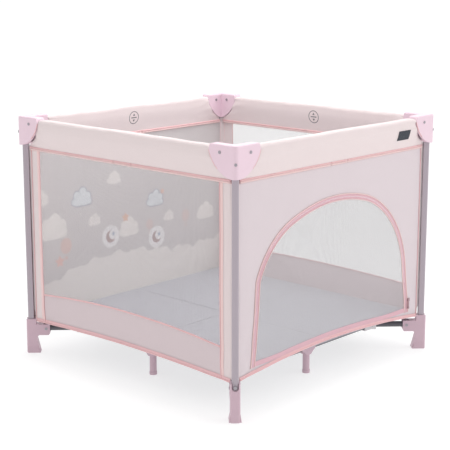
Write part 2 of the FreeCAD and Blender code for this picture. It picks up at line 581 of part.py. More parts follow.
def wall(side, quarter):
    """One sewn wall: a sleeve over the rail, whose leaves lean in below it, and a panel that hangs from the
    outer leaf. The inner leaf hangs free beside the panel's top."""
    piece = new_piece(f"wall_{side}", (0, 0, 0), 0, quarter)
    panel = [
        ("-sizes.panel_half", "sizes.hem_height"),
        ("sizes.panel_half", "sizes.hem_height"),
        ("sizes.panel_half", "sizes.sleeve_bottom + 1"),
        ("-sizes.panel_half", "sizes.sleeve_bottom + 1"),
    ]
    pad(piece, outline(new_sketch(piece, "XZ_Plane", "sizes.wall_plane"), panel), "sizes.cloth")
    plane, outer, inner = "-sizes.wall_plane", "-sizes.sleeve_outer", "-sizes.sleeve_inner"
    leaves = [
        (f"{plane} - sizes.cloth", "sizes.sleeve_bottom"),
        (f"{outer} - sizes.cloth", "sizes.sleeve_slant"),
        (f"{outer} - sizes.cloth", "sizes.sleeve_top"),
        (f"{inner} + sizes.cloth", "sizes.sleeve_top"),
        (f"{inner} + sizes.cloth", "sizes.sleeve_slant"),
        (f"{plane} + sizes.cloth + 1", "sizes.sleeve_bottom"),
        (f"{plane} + 1", "sizes.sleeve_bottom"),
        (inner, "sizes.sleeve_slant"),
        (inner, "sizes.sleeve_top - sizes.cloth"),
        (outer, "sizes.sleeve_top - sizes.cloth"),
        (outer, "sizes.sleeve_slant"),
        (plane, "sizes.sleeve_bottom"),
    ]
    pad(piece, outline(new_sketch(piece, "YZ_Plane"), leaves), "2 * sizes.sleeve_half", symmetric=True)
    if side == "front":
        # the doorway is cut through the panel only, from just inside it
        doorway = door_arch(new_sketch(piece, "XZ_Plane", "sizes.wall_plane + sizes.cloth + 1"), "sizes.zip_gap")
        pocket(piece, doorway, "sizes.cloth + 2")


def door_flap():
    """The zipped door, in the plane of the front wall."""
    piece = new_piece("door_flap")
    pad(piece, door_arch(new_sketch(piece, "XZ_Plane", "sizes.wall_plane"), "0"), "sizes.cloth")


def floor_mat():
    """Padded floor, notched at its corners for the legs."""
    piece = new_piece("floor_mat")
    pad(piece, square(new_sketch(piece, "XY_Plane", "sizes.mat_bottom"), "sizes.mat_half"), "sizes.mat_thick")
    inner, outer = "sizes.mat_half - sizes.mat_notch", "sizes.mat_half + 10"
    for corner, quarter in zip(CORNERS, range(4)):
        block(piece, f"notch_{corner}", (inner, inner, 50), (outer, outer, 200), QUARTER_TURN * quarter, cut=True)


def zip_pull():
    """The zip's slider with its hanging tab, at the door's right foot."""
    piece = new_piece("zip_pull", ("sizes.door_right + 4", "-sizes.wall_plane - sizes.cloth - 0.4", 172), 0, 0)
    block(piece, "slider", (-4.5, -3.2, -5), (4.5, 0, 5))
    block(piece, "tab", (-3, -2.6, -27), (3, -1.2, -3))
    rod(piece, "grip", 4.2, 1.8, (0, -1.9, -26), "y")
    rod(piece, "eye", 1.6, 8, (0, -1.9, -25), "y", cut=True)


for number, corner_name in enumerate(CORNERS):
    leg_tube(corner_name, number)
    corner_cap(corner_name, number)
    foot_bracket(corner_name, number)
    corner_fasteners(corner_name, number)
    floor_arm(corner_name, number)
    arm_coupling(corner_name, number)
for number, side_name in enumerate(SIDES):
    top_rails(side_name, number)
    rail_lock(side_name, number)
    release_button(side_name, number)
    floor_tubes(side_name, number)
    middle_foot(side_name, number)
    wall(side_name, number)
floor_hub()
floor_mat()
door_flap()
zip_pull()
doc.recompute()

for thing in doc.Objects:
    if "Invalid" in thing.State or "Error" in thing.State:
        raise RuntimeError(f"{thing.Name} ({thing.Label}) did not compute: {thing.State}")
os.makedirs("parts", exist_ok=True)
for node in nodes:
    shape = node.Shape
    if shape.isNull() or not shape.isValid():
        raise RuntimeError(f"{node.Label} has no valid shape")
    if node.TypeId == "PartDesign::Body" and len(shape.Solids) != 1:
        raise RuntimeError(f"{node.Label} has {len(shape.Solids)} solids")
    shape.exportStep(os.path.join("parts", f"{node.Label}.step"))
whole = Part.makeCompound([node.Shape for node in nodes]).BoundBox
print(f"{len(nodes)} pieces, {whole.XLength:.1f} x {whole.YLength:.1f} x {whole.ZLength:.1f} mm")
for name, expression in (("rail", RAIL_LENGTH), ("arm", ARM_LENGTH), ("hub pivot", HUB_PIVOT),
                         ("coupling", COUPLING_PLACE), ("floor tube", FLOOR_TUBE_LENGTH),
                         ("middle pivot", MIDDLE_PIVOT)):
    print(f"{name}: {amount_of(expression):.3f}")
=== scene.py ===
import math

import bmesh
import bpy
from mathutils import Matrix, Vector, noise


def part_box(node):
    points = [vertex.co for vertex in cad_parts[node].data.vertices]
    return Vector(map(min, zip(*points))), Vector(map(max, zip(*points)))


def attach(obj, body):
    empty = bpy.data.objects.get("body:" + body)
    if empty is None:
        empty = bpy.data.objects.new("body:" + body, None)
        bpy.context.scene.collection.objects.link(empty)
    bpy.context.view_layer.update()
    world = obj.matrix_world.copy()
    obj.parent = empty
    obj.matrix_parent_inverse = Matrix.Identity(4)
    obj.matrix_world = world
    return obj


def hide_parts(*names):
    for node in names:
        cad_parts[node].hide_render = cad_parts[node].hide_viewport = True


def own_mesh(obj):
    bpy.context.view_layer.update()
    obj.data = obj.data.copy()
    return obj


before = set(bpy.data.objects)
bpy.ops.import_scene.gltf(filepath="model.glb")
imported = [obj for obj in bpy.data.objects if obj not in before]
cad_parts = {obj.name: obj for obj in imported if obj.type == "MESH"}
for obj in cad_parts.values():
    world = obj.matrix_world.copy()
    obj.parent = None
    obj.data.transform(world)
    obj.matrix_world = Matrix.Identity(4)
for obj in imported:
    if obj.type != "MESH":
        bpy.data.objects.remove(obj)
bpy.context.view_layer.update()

# ---------------------------------------------------------------- places, in metres, from the frame
SIDES = ["front", "right", "back", "left"]
CORNERS = ["front_left", "front_right", "back_right", "back_left"]
OWNER = {"front": "front_left", "left": "front_left", "right": "front_right", "back": "back_left"}
rail_low, rail_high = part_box("front_rail_first")
LEG = -(rail_low.y + rail_high.y) / 2  # the legs' and rails' distance from the middle
cap_low, cap_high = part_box("corner_cap_front_right")
CAP_LOW, CAP_TOP = cap_low.z, cap_high.z
CAP_REACH = LEG - cap_low.x
door_low, door_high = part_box("door_flap")
wall_low, wall_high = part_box("wall_front")
SLEEVE_TOP = wall_high.z
OUTER, INNER = -wall_low.y, -wall_high.y  # faces of the sleeve, from the middle
SLEEVE_CENTRE, SLEEVE_ROUND = (OUTER + INNER) / 2, (OUTER - INNER) / 2
FACE = -(door_low.y + door_high.y) / 2  # where the wall fabric hangs
BAND_LOW = 0.6555
STRIP = 0.379  # inner edge of the strips beside the legs
SEAM = 0.418  # where a wall is sewn to the corner gussets
BACK_SEAM = 0.4285  # the same on the back, whose print runs into the corners
WALL_TOP = BAND_LOW + 0.003  # where the wall cloth goes up behind the sleeve
SEAM_FOOT, GUSSET_FOOT = 0.112, 0.1125  # lower ends of the corner seams and of the gussets
SLEEVE_SLANT = 0.722  # below this the sleeve's leaves lean in towards the wall
HEM_LOW = {"front": 0.1085, "right": 0.1050, "back": 0.1050, "left": 0.1045}  # a hem's height beside the legs
LIFT = {"front": 0.023, "right": 0.004, "back": 0.003, "left": 0.006}  # how far it arches up in mid-span
PULL = {"front": 0.010, "right": 0.004, "back": 0.003, "left": 0.014}  # and how far it is drawn inward
POST = {corner: "post_" + corner for corner in CORNERS}


def srgb(r, g, b):
    """A colour given as 0 to 255, as linear light."""
    return tuple((c / 255 / 12.92) if c <= 10 else ((c / 255 + 0.055) / 1.055) ** 2.4 for c in (r, g, b))


PEACH = srgb(233, 219, 219)
ROSE = srgb(220, 208, 212)
CORAL = srgb(242, 196, 198)
BINDING = srgb(244, 212, 210)
TAPE = srgb(220, 176, 186)
PLASTIC = srgb(234, 208, 220)
# the cap plastic made darker for the feet: painted shade down by the floor
SHADED_PLASTIC = srgb(206, 178, 190)
LILAC = srgb(178, 167, 176)
NET = srgb(196, 194, 196)
PRINT = srgb(212, 206, 206)
HEATHER = srgb(178, 178, 186)


def clamp(x, low=0.0, high=1.0):
    return max(low, min(high, x))


def smooth(x):
    x = clamp(x)
    return x * x * (3 - 2 * x)


def mix(a, b, t):
    return tuple(p + (q - p) * t for p, q in zip(a, b))


def spread(low, high, count, tight=0.0):
    """Stations from low to high, drawn towards both ends by tight."""
    made = []
    for i in range(count + 1):
        t = i / count
        made.append(low + (high - low) * (t - tight * math.sin(2 * math.pi * t) / (2 * math.pi)))
    return made


# ---------------------------------------------------------------- the padded sleeve's section
def sleeve_section():
    """The sleeve's section as (distance out, height, run along the cloth): a drop shape, square-shouldered
    over the rail, its two leaves meeting below."""
    half = []
    for t in spread(0, 1, 28):
        height = BAND_LOW + (SLEEVE_SLANT - BAND_LOW) * t
        half.append((0.5 * t + 0.5 * smooth(t), height))
    tall = SLEEVE_TOP + 0.001 - SLEEVE_ROUND
    half += [(1.0, SLEEVE_SLANT + (tall - SLEEVE_SLANT) * t) for t in spread(0, 1, 6)[1:]]
    for a in spread(0, math.pi / 2, 16)[1:]:
        half.append((math.cos(a) ** 0.5, tall + SLEEVE_ROUND * math.sin(a) ** 0.5))
    outer = [(FACE + 0.0012, SLEEVE_CENTRE + SLEEVE_ROUND), (FACE - 0.0022, SLEEVE_CENTRE - SLEEVE_ROUND)]
    leaves = []
    for low, face in outer:
        leaf = []
        for out, z in half:
            start = low if z < tall else SLEEVE_CENTRE
            leaf.append((start + (face - start) * out, z))
        leaves.append(leaf)
    path = leaves[0] + leaves[1][-2::-1]
    section, run = [], 0.0
    for i, point in enumerate(path):
        run += math.dist(point, path[i - 1]) if i else 0
        section.append((*point, run))
    return section


SECTION = sleeve_section()
SLEEVE_GIRTH = SECTION[-1][2]


def band_profile(run):
    """The sleeve's section at a run round it from the outer lower edge: (distance out, height)."""
    run = clamp(run, 0, SLEEVE_GIRTH)
    for (ax, az, ar), (bx, bz, br) in zip(SECTION, SECTION[1:]):
        if run <= br:
            t = (run - ar) / (br - ar)
            return ax + (bx - ax) * t, az + (bz - az) * t
    return SECTION[-1][:2]


def outer_run(z):
    """The run at which the outer leaf reaches a height."""
    return next(run for _, height, run in SECTION if height >= z)


# ---------------------------------------------------------------- materials
class Material:
    """A Principled material with short calls for the nodes that the fabrics and plastics share."""

    def __init__(self, name, colour, roughness):
        self.material = bpy.data.materials.new(name)
        self.material.use_nodes = True
        self.tree = self.material.node_tree
        self.shader = self.tree.nodes["Principled BSDF"]
        self.shader.inputs["Base Color"].default_value = (*colour, 1)
        self.shader.inputs["Roughness"].default_value = roughness
        self.colour = colour
        self.material.diffuse_color = (*colour, 1)

    def node(self, kind, **inputs):
        made = self.tree.nodes.new(kind)
        for key, value in inputs.items():
            self.feed(made.inputs[key.replace("_", " ")], value)
        return made

    def feed(self, socket, value):
        if isinstance(value, bpy.types.NodeSocket):
            self.tree.links.new(value, socket)
        else:
            socket.default_value = value

    def math(self, operation, a, b=0.0, c=0.0, clamped=False):
        made = self.tree.nodes.new("ShaderNodeMath")
        made.operation = operation
        made.use_clamp = clamped
        for socket, value in zip(made.inputs, (a, b, c)):
            self.feed(socket, value)
        return made.outputs[0]

    def span(self, value, low, high, to_low, to_high):
        """Maps a value from one span to another, clamped."""
        made = self.node("ShaderNodeMapRange", Value=value)
        for key, amount in (("From Min", low), ("From Max", high), ("To Min", to_low), ("To Max", to_high)):
            made.inputs[key].default_value = amount
        return made.outputs[0]

    def coordinates(self, flat):
        """(across, along, vector), in metres on the flat cloth or else in the object's own space."""
        source = self.node("ShaderNodeTexCoord")
        vector = source.outputs["UV" if flat else "Object"]
        parts = self.node("ShaderNodeSeparateXYZ", Vector=vector)
        return parts.outputs[0], parts.outputs[1], vector

    def noise(self, vector, size, detail=3.0, rough=0.55):
        made = self.node("ShaderNodeTexNoise", Vector=vector, Scale=1 / size, Detail=detail, Roughness=rough)
        return made.outputs[0]

    def ripple(self, value, pitch):
        """A sine, from 0 to 1, of that pitch."""
        wave = self.math("SINE", self.math("MULTIPLY", value, 2 * math.pi / pitch))
        return self.math("MULTIPLY_ADD", wave, 0.5, 0.5)

    def weave(self, across, along, pitch):
        """A plain weave's height, from 0 to 1: threads that pass over and under."""
        a = self.math("SINE", self.math("MULTIPLY", across, math.pi / pitch))
        b = self.math("SINE", self.math("MULTIPLY", along, math.pi / pitch))
        return self.math("MULTIPLY_ADD", self.math("MULTIPLY", a, b), 0.5, 0.5)

    def tint(self, factor, light, dark, base=None):
        """Base colour from dark to light by a factor; base, if given, is a colour socket to tint."""
        ramp = self.node("ShaderNodeMix")
        ramp.data_type = "RGBA"
        self.feed(ramp.inputs[0], factor)
        if base is None:
            ramp.inputs[6].default_value = (*(c * dark for c in self.colour), 1)
            ramp.inputs[7].default_value = (*(c * light for c in self.colour), 1)
            return ramp.outputs[2]
        ramp.inputs[6].default_value = (dark, dark, dark, 1)
        ramp.inputs[7].default_value = (light, light, light, 1)
        product = self.node("ShaderNodeMix")
        product.data_type = "RGBA"
        product.blend_type = "MULTIPLY"
        product.inputs[0].default_value = 1
        self.feed(product.inputs[6], base)
        self.feed(product.inputs[7], ramp.outputs[2])
        return product.outputs[2]

    def paint(self, colour):
        self.feed(self.shader.inputs["Base Color"], colour)

    def bump(self, height, distance, strength=1.0):
        made = self.node("ShaderNodeBump", Height=height, Distance=distance, Strength=strength)
        self.feed(self.shader.inputs["Normal"], made.outputs[0])


def press_mark(m, across, along, place):
    """A printed ring round two arrowheads and a bar, 43 mm across, at that height on the cloth."""
    high = m.math("SUBTRACT", along, place)
    tall = m.math("ABSOLUTE", high)
    wide = m.math("ABSOLUTE", across)
    away = m.math("SQRT", m.math("ADD", m.math("MULTIPLY", wide, wide), m.math("MULTIPLY", high, high)))
    ring = m.span(m.math("ABSOLUTE", m.math("SUBTRACT", away, 0.0204)), 0.0009, 0.0015, 1, 0)
    slope = m.math("ADD", wide, m.math("MULTIPLY", m.math("SUBTRACT", tall, 0.0145), 0.62))
    arrow = m.math("MULTIPLY", m.span(slope, -0.0003, 0.0003, 1, 0), m.span(tall, 0.0062, 0.0068, 0, 1))
    bar = m.math("MULTIPLY", m.span(tall, 0.0013, 0.0018, 1, 0), m.span(wide, 0.0120, 0.0125, 1, 0))
    return m.math("MAXIMUM", ring, m.math("MAXIMUM", arrow, bar))


def fabric(name, colour, pitch=0.0011, sheen=0.25, stitches=(), printed=False, mark=None, bump=0.00025):
    """Woven cloth: a weave, slubs, soft mottling and, if asked, rows of stitches, a print or a press mark."""
    m = Material(name, colour, 0.85)
    m.shader.inputs["Sheen Weight"].default_value = sheen
    m.shader.inputs["Sheen Roughness"].default_value = 0.5
    m.shader.inputs["Specular IOR Level"].default_value = 0.25
    across, along, vector = m.coordinates(True)
    threads = m.weave(across, along, pitch)
    slubs = m.noise(vector, pitch * 6, 2)
    mottle = m.noise(vector, 0.06, 3)
    base = None
    if printed:
        base = m.node("ShaderNodeAttribute")
        base.attribute_name = "print"
        base = base.outputs["Color"]
    factor = m.math("ADD", m.math("MULTIPLY", threads, 0.45), m.math("MULTIPLY", slubs, 0.35))
    factor = m.math("ADD", factor, m.math("MULTIPLY", mottle, 0.3))
    colour_out = m.tint(factor, 1.04, 0.93, base)
    if mark is not None:
        ink = m.node("ShaderNodeMix")
        ink.data_type = "RGBA"
        m.feed(ink.inputs[0], m.math("MULTIPLY", press_mark(m, across, along, mark), 0.92))
        m.feed(ink.inputs[6], colour_out)
        ink.inputs[7].default_value = (*srgb(74, 70, 78), 1)
        colour_out = ink.outputs[2]
    height = m.math("ADD", threads, m.math("MULTIPLY", slubs, 0.5))
    for row in stitches:
        away = m.math("ABSOLUTE", m.math("SUBTRACT", along, row))
        line = m.span(away, 0.0003, 0.0008, 1, 0)
        dash = m.span(m.ripple(across, 0.0042), 0.25, 0.4, 0, 1)
        stitch = m.math("MULTIPLY", line, dash)
        groove = m.span(away, 0.0, 0.0022, -2.5, 0)
        height = m.math("ADD", height, m.math("ADD", groove, m.math("MULTIPLY", stitch, 3.5)))
        thread = m.node("ShaderNodeMix")
        thread.data_type = "RGBA"
        m.feed(thread.inputs[0], m.math("MULTIPLY", stitch, 0.6))
        m.feed(thread.inputs[6], colour_out)
        thread.inputs[7].default_value = (*(c * 0.8 for c in colour), 1)
        colour_out = thread.outputs[2]
    m.paint(colour_out)
    m.feed(m.shader.inputs["Roughness"], m.span(slubs, 0.3, 0.7, 0.78, 0.92))
    m.bump(height, bump)
    return m.material


def net(name, colour, pitch, low, high):
    """Netting: a knit of six-sided holes, open between its threads."""
    m = Material(name, colour, 0.8)
    m.shader.inputs["Specular IOR Level"].default_value = 0.2
    across, along, vector = m.coordinates(True)
    total = None
    for angle in (0, 60, 120):
        c, s = math.cos(math.radians(angle)), math.sin(math.radians(angle))
        axis = m.math("ADD", m.math("MULTIPLY", across, c), m.math("MULTIPLY", along, s))
        wave = m.ripple(axis, pitch)
        total = wave if total is None else m.math("ADD", total, wave)
    threads = m.span(total, 1.0, 2.0, 1, 0)  # holes sit where all three waves are high
    mottle = m.noise(vector, 0.05, 2)
    factor = m.math("ADD", m.math("MULTIPLY", threads, 0.5), m.math("MULTIPLY", mottle, 0.5))
    m.paint(m.tint(factor, 1.04, 0.94))
    m.bump(threads, 0.0003)
    m.feed(m.shader.inputs["Alpha"], m.span(threads, 0.0, 1.0, low, high))
    return m.material


def piping(name, colour):
    """Cord covered in bias-cut tape: fine slanted threads and a soft sheen."""
    m = Material(name, colour, 0.7)
    m.shader.inputs["Sheen Weight"].default_value = 0.3
    across, along, vector = m.coordinates(True)
    slant = m.ripple(m.math("ADD", across, m.math("MULTIPLY", along, 0.6)), 0.0009)
    mottle = m.noise(vector, 0.03, 2)
    m.paint(m.tint(m.math("ADD", m.math("MULTIPLY", slant, 0.4), m.math("MULTIPLY", mottle, 0.6)), 1.05, 0.9))
    m.feed(m.shader.inputs["Roughness"], m.span(mottle, 0.3, 0.7, 0.62, 0.8))
    m.bump(slant, 0.0002)
    return m.material


def plastic(name, colour, roughness=0.42, grain=0.0009):
    """Moulded plastic: a fine spark-eroded grain, faint flow mottling and rubbed, smoother patches."""
    m = Material(name, colour, roughness)
    _, _, vector = m.coordinates(False)
    fine = m.noise(vector, grain, 2, 0.6)
    flow = m.noise(vector, 0.035, 3)
    rubbed = m.noise(vector, 0.012, 4)
    m.paint(m.tint(m.math("ADD", m.math("MULTIPLY", flow, 0.7), m.math("MULTIPLY", fine, 0.3)), 1.03, 0.94))
    m.feed(m.shader.inputs["Roughness"], m.span(rubbed, 0.35, 0.65, roughness - 0.08, roughness + 0.1))
    m.bump(fine, 0.00012, 0.6)
    return m.material


def coated_metal(name, colour, roughness=0.38, metallic=0.0):
    """Powder-coated tube: orange peel under a satin coat, with drawn streaks along the tube."""
    m = Material(name, colour, roughness)
    m.shader.inputs["Metallic"].default_value = metallic
    m.shader.inputs["Coat Weight"].default_value = 0.15
    m.shader.inputs["Coat Roughness"].default_value = 0.3
    _, _, vector = m.coordinates(False)
    peel = m.noise(vector, 0.0016, 2)
    scuffs = m.noise(vector, 0.02, 5, 0.65)
    stretch = m.node("ShaderNodeMapping", Vector=vector)
    stretch.inputs["Scale"].default_value = (1, 1, 0.02)
    streaks = m.noise(stretch.outputs[0], 0.0012, 2)
    factor = m.math("ADD", m.math("MULTIPLY", scuffs, 0.5), m.math("MULTIPLY", streaks, 0.5))
    m.paint(m.tint(factor, 1.05, 0.93))
    m.feed(m.shader.inputs["Roughness"], m.span(scuffs, 0.35, 0.7, roughness - 0.06, roughness + 0.12))
    m.bump(m.math("ADD", peel, m.math("MULTIPLY", streaks, 0.4)), 0.0001, 0.5)
    return m.material


def steel(name, colour):
    """Plated steel with turning marks and a dull, patchy polish."""
    m = Material(name, colour, 0.35)
    m.shader.inputs["Metallic"].default_value = 0.9
    _, _, vector = m.coordinates(False)
    marks = m.noise(vector, 0.0007, 3)
    patches = m.noise(vector, 0.004, 3)
    m.paint(m.tint(patches, 1.1, 0.8))
    m.feed(m.shader.inputs["Roughness"], m.span(patches, 0.3, 0.7, 0.28, 0.5))
    m.bump(marks, 0.00008, 0.5)
    return m.material


def heather(name, colour):
    """Grey marl knit: flecked light and dark yarns in a fine grid."""
    m = Material(name, colour, 0.9)
    m.shader.inputs["Sheen Weight"].default_value = 0.3
    m.shader.inputs["Specular IOR Level"].default_value = 0.2
    across, along, vector = m.coordinates(True)
    threads = m.weave(across, along, 0.0070)
    lengthways = m.node("ShaderNodeMapping", Vector=vector)
    lengthways.inputs["Scale"].default_value = (0.16, 1, 1)
    crossways = m.node("ShaderNodeMapping", Vector=vector)
    crossways.inputs["Scale"].default_value = (1, 0.16, 1)
    fleck = 0.0064
    flecks = m.math("ADD", m.noise(lengthways.outputs[0], fleck, 2), m.noise(crossways.outputs[0], fleck, 2))
    cloudy = m.noise(vector, 0.05, 3)
    yarns = m.math("MULTIPLY", m.math("SUBTRACT", flecks, 0.5), 0.7)
    grid = m.math("ADD", m.math("MULTIPLY", threads, 0.55), m.math("MULTIPLY", cloudy, 0.2))
    m.paint(m.tint(m.math("MULTIPLY", m.math("ADD", yarns, grid), 0.72, clamped=True), 1.22, 0.74))
    m.bump(m.math("ADD", threads, flecks), 0.0004)
    return m.material


BAND = fabric("band_cloth", PEACH, stitches=(0.0055, SLEEVE_GIRTH - 0.0055))
BAND_MARKED = fabric("band_cloth_marked", PEACH, stitches=(0.0055, SLEEVE_GIRTH - 0.0055),
                     mark=SLEEVE_GIRTH - outer_run(0.7065))
PANEL_CLOTH = fabric("panel_cloth", ROSE, pitch=0.0012)
STRIP_CLOTH = fabric("strip_cloth", PEACH, pitch=0.0011)
# a darker copy of the pale skirt cloth for the left skirt: painted shade for the side turned away from the
# key light
SHADED_SKIRT_CLOTH = fabric("skirt_cloth_painted_shade", srgb(216, 201, 204), pitch=0.0012)
PALE_CLOTH = fabric("pale_cloth", srgb(232, 216, 218), pitch=0.0012)
TAPE_CLOTH = fabric("tape_cloth", TAPE, pitch=0.0008, sheen=0.35, bump=0.0002)
WINDOW_NET = net("window_net", NET, 0.0017, 0.16, 0.54)
DOOR_NET = net("door_net", NET, 0.0017, 0.26, 0.72)
PRINTED = fabric("printed_cloth", PRINT, pitch=0.0013, printed=True)
PIPING = piping("piping_cord", CORAL)
EDGING = piping("edging_cord", BINDING)
HEM_CLOTH = fabric("hem_cloth", srgb(234, 190, 193), pitch=0.0008, sheen=0.35, bump=0.0002)
BINDING_CLOTH = fabric("binding_cloth", BINDING, pitch=0.0008, sheen=0.35, bump=0.0002)
MAT_TOP = heather("mat_marl", HEATHER)
LABEL = fabric("label_weave", srgb(62, 66, 74), pitch=0.0006, sheen=0.1)
CAP_PLASTIC = plastic("cap_plastic", PLASTIC)
# a darker copy of the cap plastic: painted shade on the feet and middle feet near the floor
SHADED_FOOT_PLASTIC = plastic("foot_plastic_painted_shade", SHADED_PLASTIC)
PALE_PLASTIC = plastic("pale_plastic", srgb(226, 222, 224))
LEG_METAL = coated_metal("leg_metal", LILAC)
DARK_METAL = coated_metal("dark_metal", srgb(88, 86, 92), 0.42)
RAIL_METAL = coated_metal("rail_metal", srgb(150, 150, 154), 0.4, 0.3)
STEEL = steel("fastener_steel", srgb(168, 164, 170))
ZIP_METAL = steel("zip_metal", srgb(172, 144, 150))


def dress(node, material):
    """Gives a CAD node its material."""
    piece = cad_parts[node]
    if not piece.material_slots:
        piece.data.materials.append(material)
    for place in piece.material_slots:
        place.material = material


for corner in CORNERS:
    dress("leg_tube_" + corner, LEG_METAL)
    dress("corner_cap_" + corner, CAP_PLASTIC)
    dress("foot_bracket_" + corner, SHADED_FOOT_PLASTIC)
    dress("corner_fasteners_" + corner, STEEL)
    dress("floor_arm_" + corner, DARK_METAL)
    dress("arm_coupling_" + corner, PALE_PLASTIC)
for side in SIDES:
    for half in ("first", "second"):
        dress(f"{side}_rail_{half}", RAIL_METAL)
        dress(f"{side}_floor_tube_{half}", DARK_METAL)
    dress("rail_lock_" + side, PALE_PLASTIC)
    dress("release_button_" + side, CAP_PLASTIC)
    dress("middle_foot_" + side, SHADED_FOOT_PLASTIC)
dress("floor_hub", PALE_PLASTIC)
dress("zip_pull", ZIP_METAL)


# ---------------------------------------------------------------- mesh helpers
def turn(side, u, w, z):
    """A point of a side's own frame, u along it, w out from the middle of the pen, as a point of the row."""
    x, y = u, -w
    for _ in range(SIDES.index(side)):
        x, y = -y, x
    return Vector((x, y, z))


class Sheet:
    """Collects patches of cloth, each a grid of rows, into one mesh with a flat map in metres."""

    def __init__(self, name):
        self.name = name
        self.points, self.faces, self.flat, self.colours = [], [], [], []

    def patch(self, rows, flat, colours=None, closed=False):
        start, wide = len(self.points), len(rows[0])
        for row, places in zip(rows, flat):
            self.points.extend(row)
            self.flat.extend(places)
        if colours:
            for row in colours:
                self.colours.extend(row)
        for j in range(len(rows) - 1):
            for i in range(wide if closed else wide - 1):
                a = start + j * wide + i
                b = start + j * wide + (i + 1) % wide
                self.faces.append((a, b, b + wide, a + wide))
        return self

    def tube(self, path, radius, sides=8, closed=False):
        """A round cord along a path of points."""
        count = len(path)
        rows, flat = [], []
        run = 0.0
        previous = None
        for i, point in enumerate(path):
            before = path[i - 1] if i or closed else point
            after = path[(i + 1) % count] if i < count - 1 or closed else point
            forward = (after - before).normalized()
            if previous is None:
                helper = Vector((0, 0, 1)) if abs(forward.z) < 0.8 else Vector((1, 0, 0))
                previous = helper.cross(forward).normalized()
            across = (previous - forward * previous.dot(forward)).normalized()
            previous = across
            up = forward.cross(across)
            run += (point - path[i - 1]).length if i else 0
            angles = [2 * math.pi * j / sides for j in range(sides)]
            rows.append([point + (across * math.cos(a) + up * math.sin(a)) * radius for a in angles])
            flat.append([(run, a * radius) for a in angles])
        if closed:
            rows.append(rows[0])
            flat.append(flat[0])
        start = len(self.points)
        self.patch(rows, flat, closed=True)
        if not closed:
            self.faces.append(tuple(range(start + sides - 1, start - 1, -1)))
            last = start + (len(rows) - 1) * sides
            self.faces.append(tuple(range(last, last + sides)))
        return self

    def make(self, material):
        mesh = bpy.data.meshes.new(self.name)
        mesh.from_pydata([tuple(p) for p in self.points], [], self.faces)
        layer = mesh.uv_layers.new(name="flat")
        for loop in mesh.loops:
            layer.data[loop.index].uv = self.flat[loop.vertex_index]
        if self.colours:
            attribute = mesh.color_attributes.new("print", "FLOAT_COLOR", "POINT")
            for datum, colour in zip(attribute.data, self.colours):
                datum.color = (*colour, 1)
        mesh.polygons.foreach_set("use_smooth", [True] * len(mesh.polygons))
        mesh.materials.append(material)
        mesh.validate()
        mesh.update()
        made = bpy.data.objects.new(self.name, mesh)
        bpy.context.scene.collection.objects.link(made)
        return made


def grid(ts, us, place):
    """Rows of points and their places on the flat cloth; place gives both from a t and a u."""
    rows, flat = [], []
    for t in ts:
        made = [place(t, u) for u in us]
        rows.append([point for point, _ in made])
        flat.append([spot for _, spot in made])
    return rows, flat


def on_side(piece, side, body=None):
    """Rides with the leg that carries the side's wall."""
    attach(piece, body or POST[OWNER[side]])
    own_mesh(piece)
    return piece


# ---------------------------------------------------------------- shapes that the cloth follows
def circle_through(a, b, c):
    """Centre and radius of the circle through three points."""
    (ax, ay), (bx, by), (cx, cy) = a, b, c
    d = 2 * (ax * (by - cy) + bx * (cy - ay) + cx * (ay - by))
    aa, bb, cc = ax * ax + ay * ay, bx * bx + by * by, cx * cx + cy * cy
    x = (aa * (by - cy) + bb * (cy - ay) + cc * (ay - by)) / d
    y = (aa * (cx - bx) + bb * (ax - cx) + cc * (bx - ax)) / d
    return x, y, math.hypot(ax - x, ay - y)


CAP_EDGE = circle_through((0.002, CAP_LOW), (CAP_REACH * 0.72, CAP_LOW + 0.031), (CAP_REACH, CAP_TOP - 0.017))


def seam(side):
    """How far along a side its wall reaches before it is sewn to the corner gussets."""
    return BACK_SEAM if side == "back" else SEAM


def cloth_end(z):
    """How far along a side the cloth runs at a height: up to the leg, or round the cap's lobe."""
    if z <= CAP_LOW - 0.003:
        return SEAM + 0.004
    if z >= CAP_TOP - 0.018:
        return LEG - CAP_REACH + 0.0006
    x, y, r = CAP_EDGE
    reach = x + math.sqrt(max(r * r - (z - y) ** 2, 0))
    return min(SEAM + 0.004, LEG - reach + 0.0006)


def soft(side, u, z, size, depth):
    """Gentle unevenness of the cloth."""
    return depth * noise.noise(Vector((u / size + 11.3 * SIDES.index(side), z / size, 4.7)))


def face_at(side, u, z):
    """The wall cloth's distance from the middle of the pen."""
    w = FACE + soft(side, u, z, 0.16, 0.0016)
    edge = seam(side) - abs(u)
    span = max(0, 1 - (u / seam(side)) ** 2)
    w -= PULL[side] * span * clamp((0.33 - z) / 0.22) ** 1.5
    # slack gathers in slanting folds near the lower corners
    near = math.hypot(edge, z - HEM_LOW[side])
    w += 0.0016 * math.sin((z - 0.9 * edge) * 62) * math.exp(-near / 0.10) * smooth(edge / 0.03)
    return w


def hem_at(side, u):
    """The height of a wall's lower hem."""
    return HEM_LOW[side] + LIFT[side] * max(0, 1 - (u / seam(side)) ** 2) ** 1.15


def skirt_at(side, u):
    """The height of a window's lower edge."""
    low, arch_up = (0.1965, 0.020) if side == "left" else (0.2000, 0.011)
    return low + arch_up * (1 - (u / STRIP) ** 2)


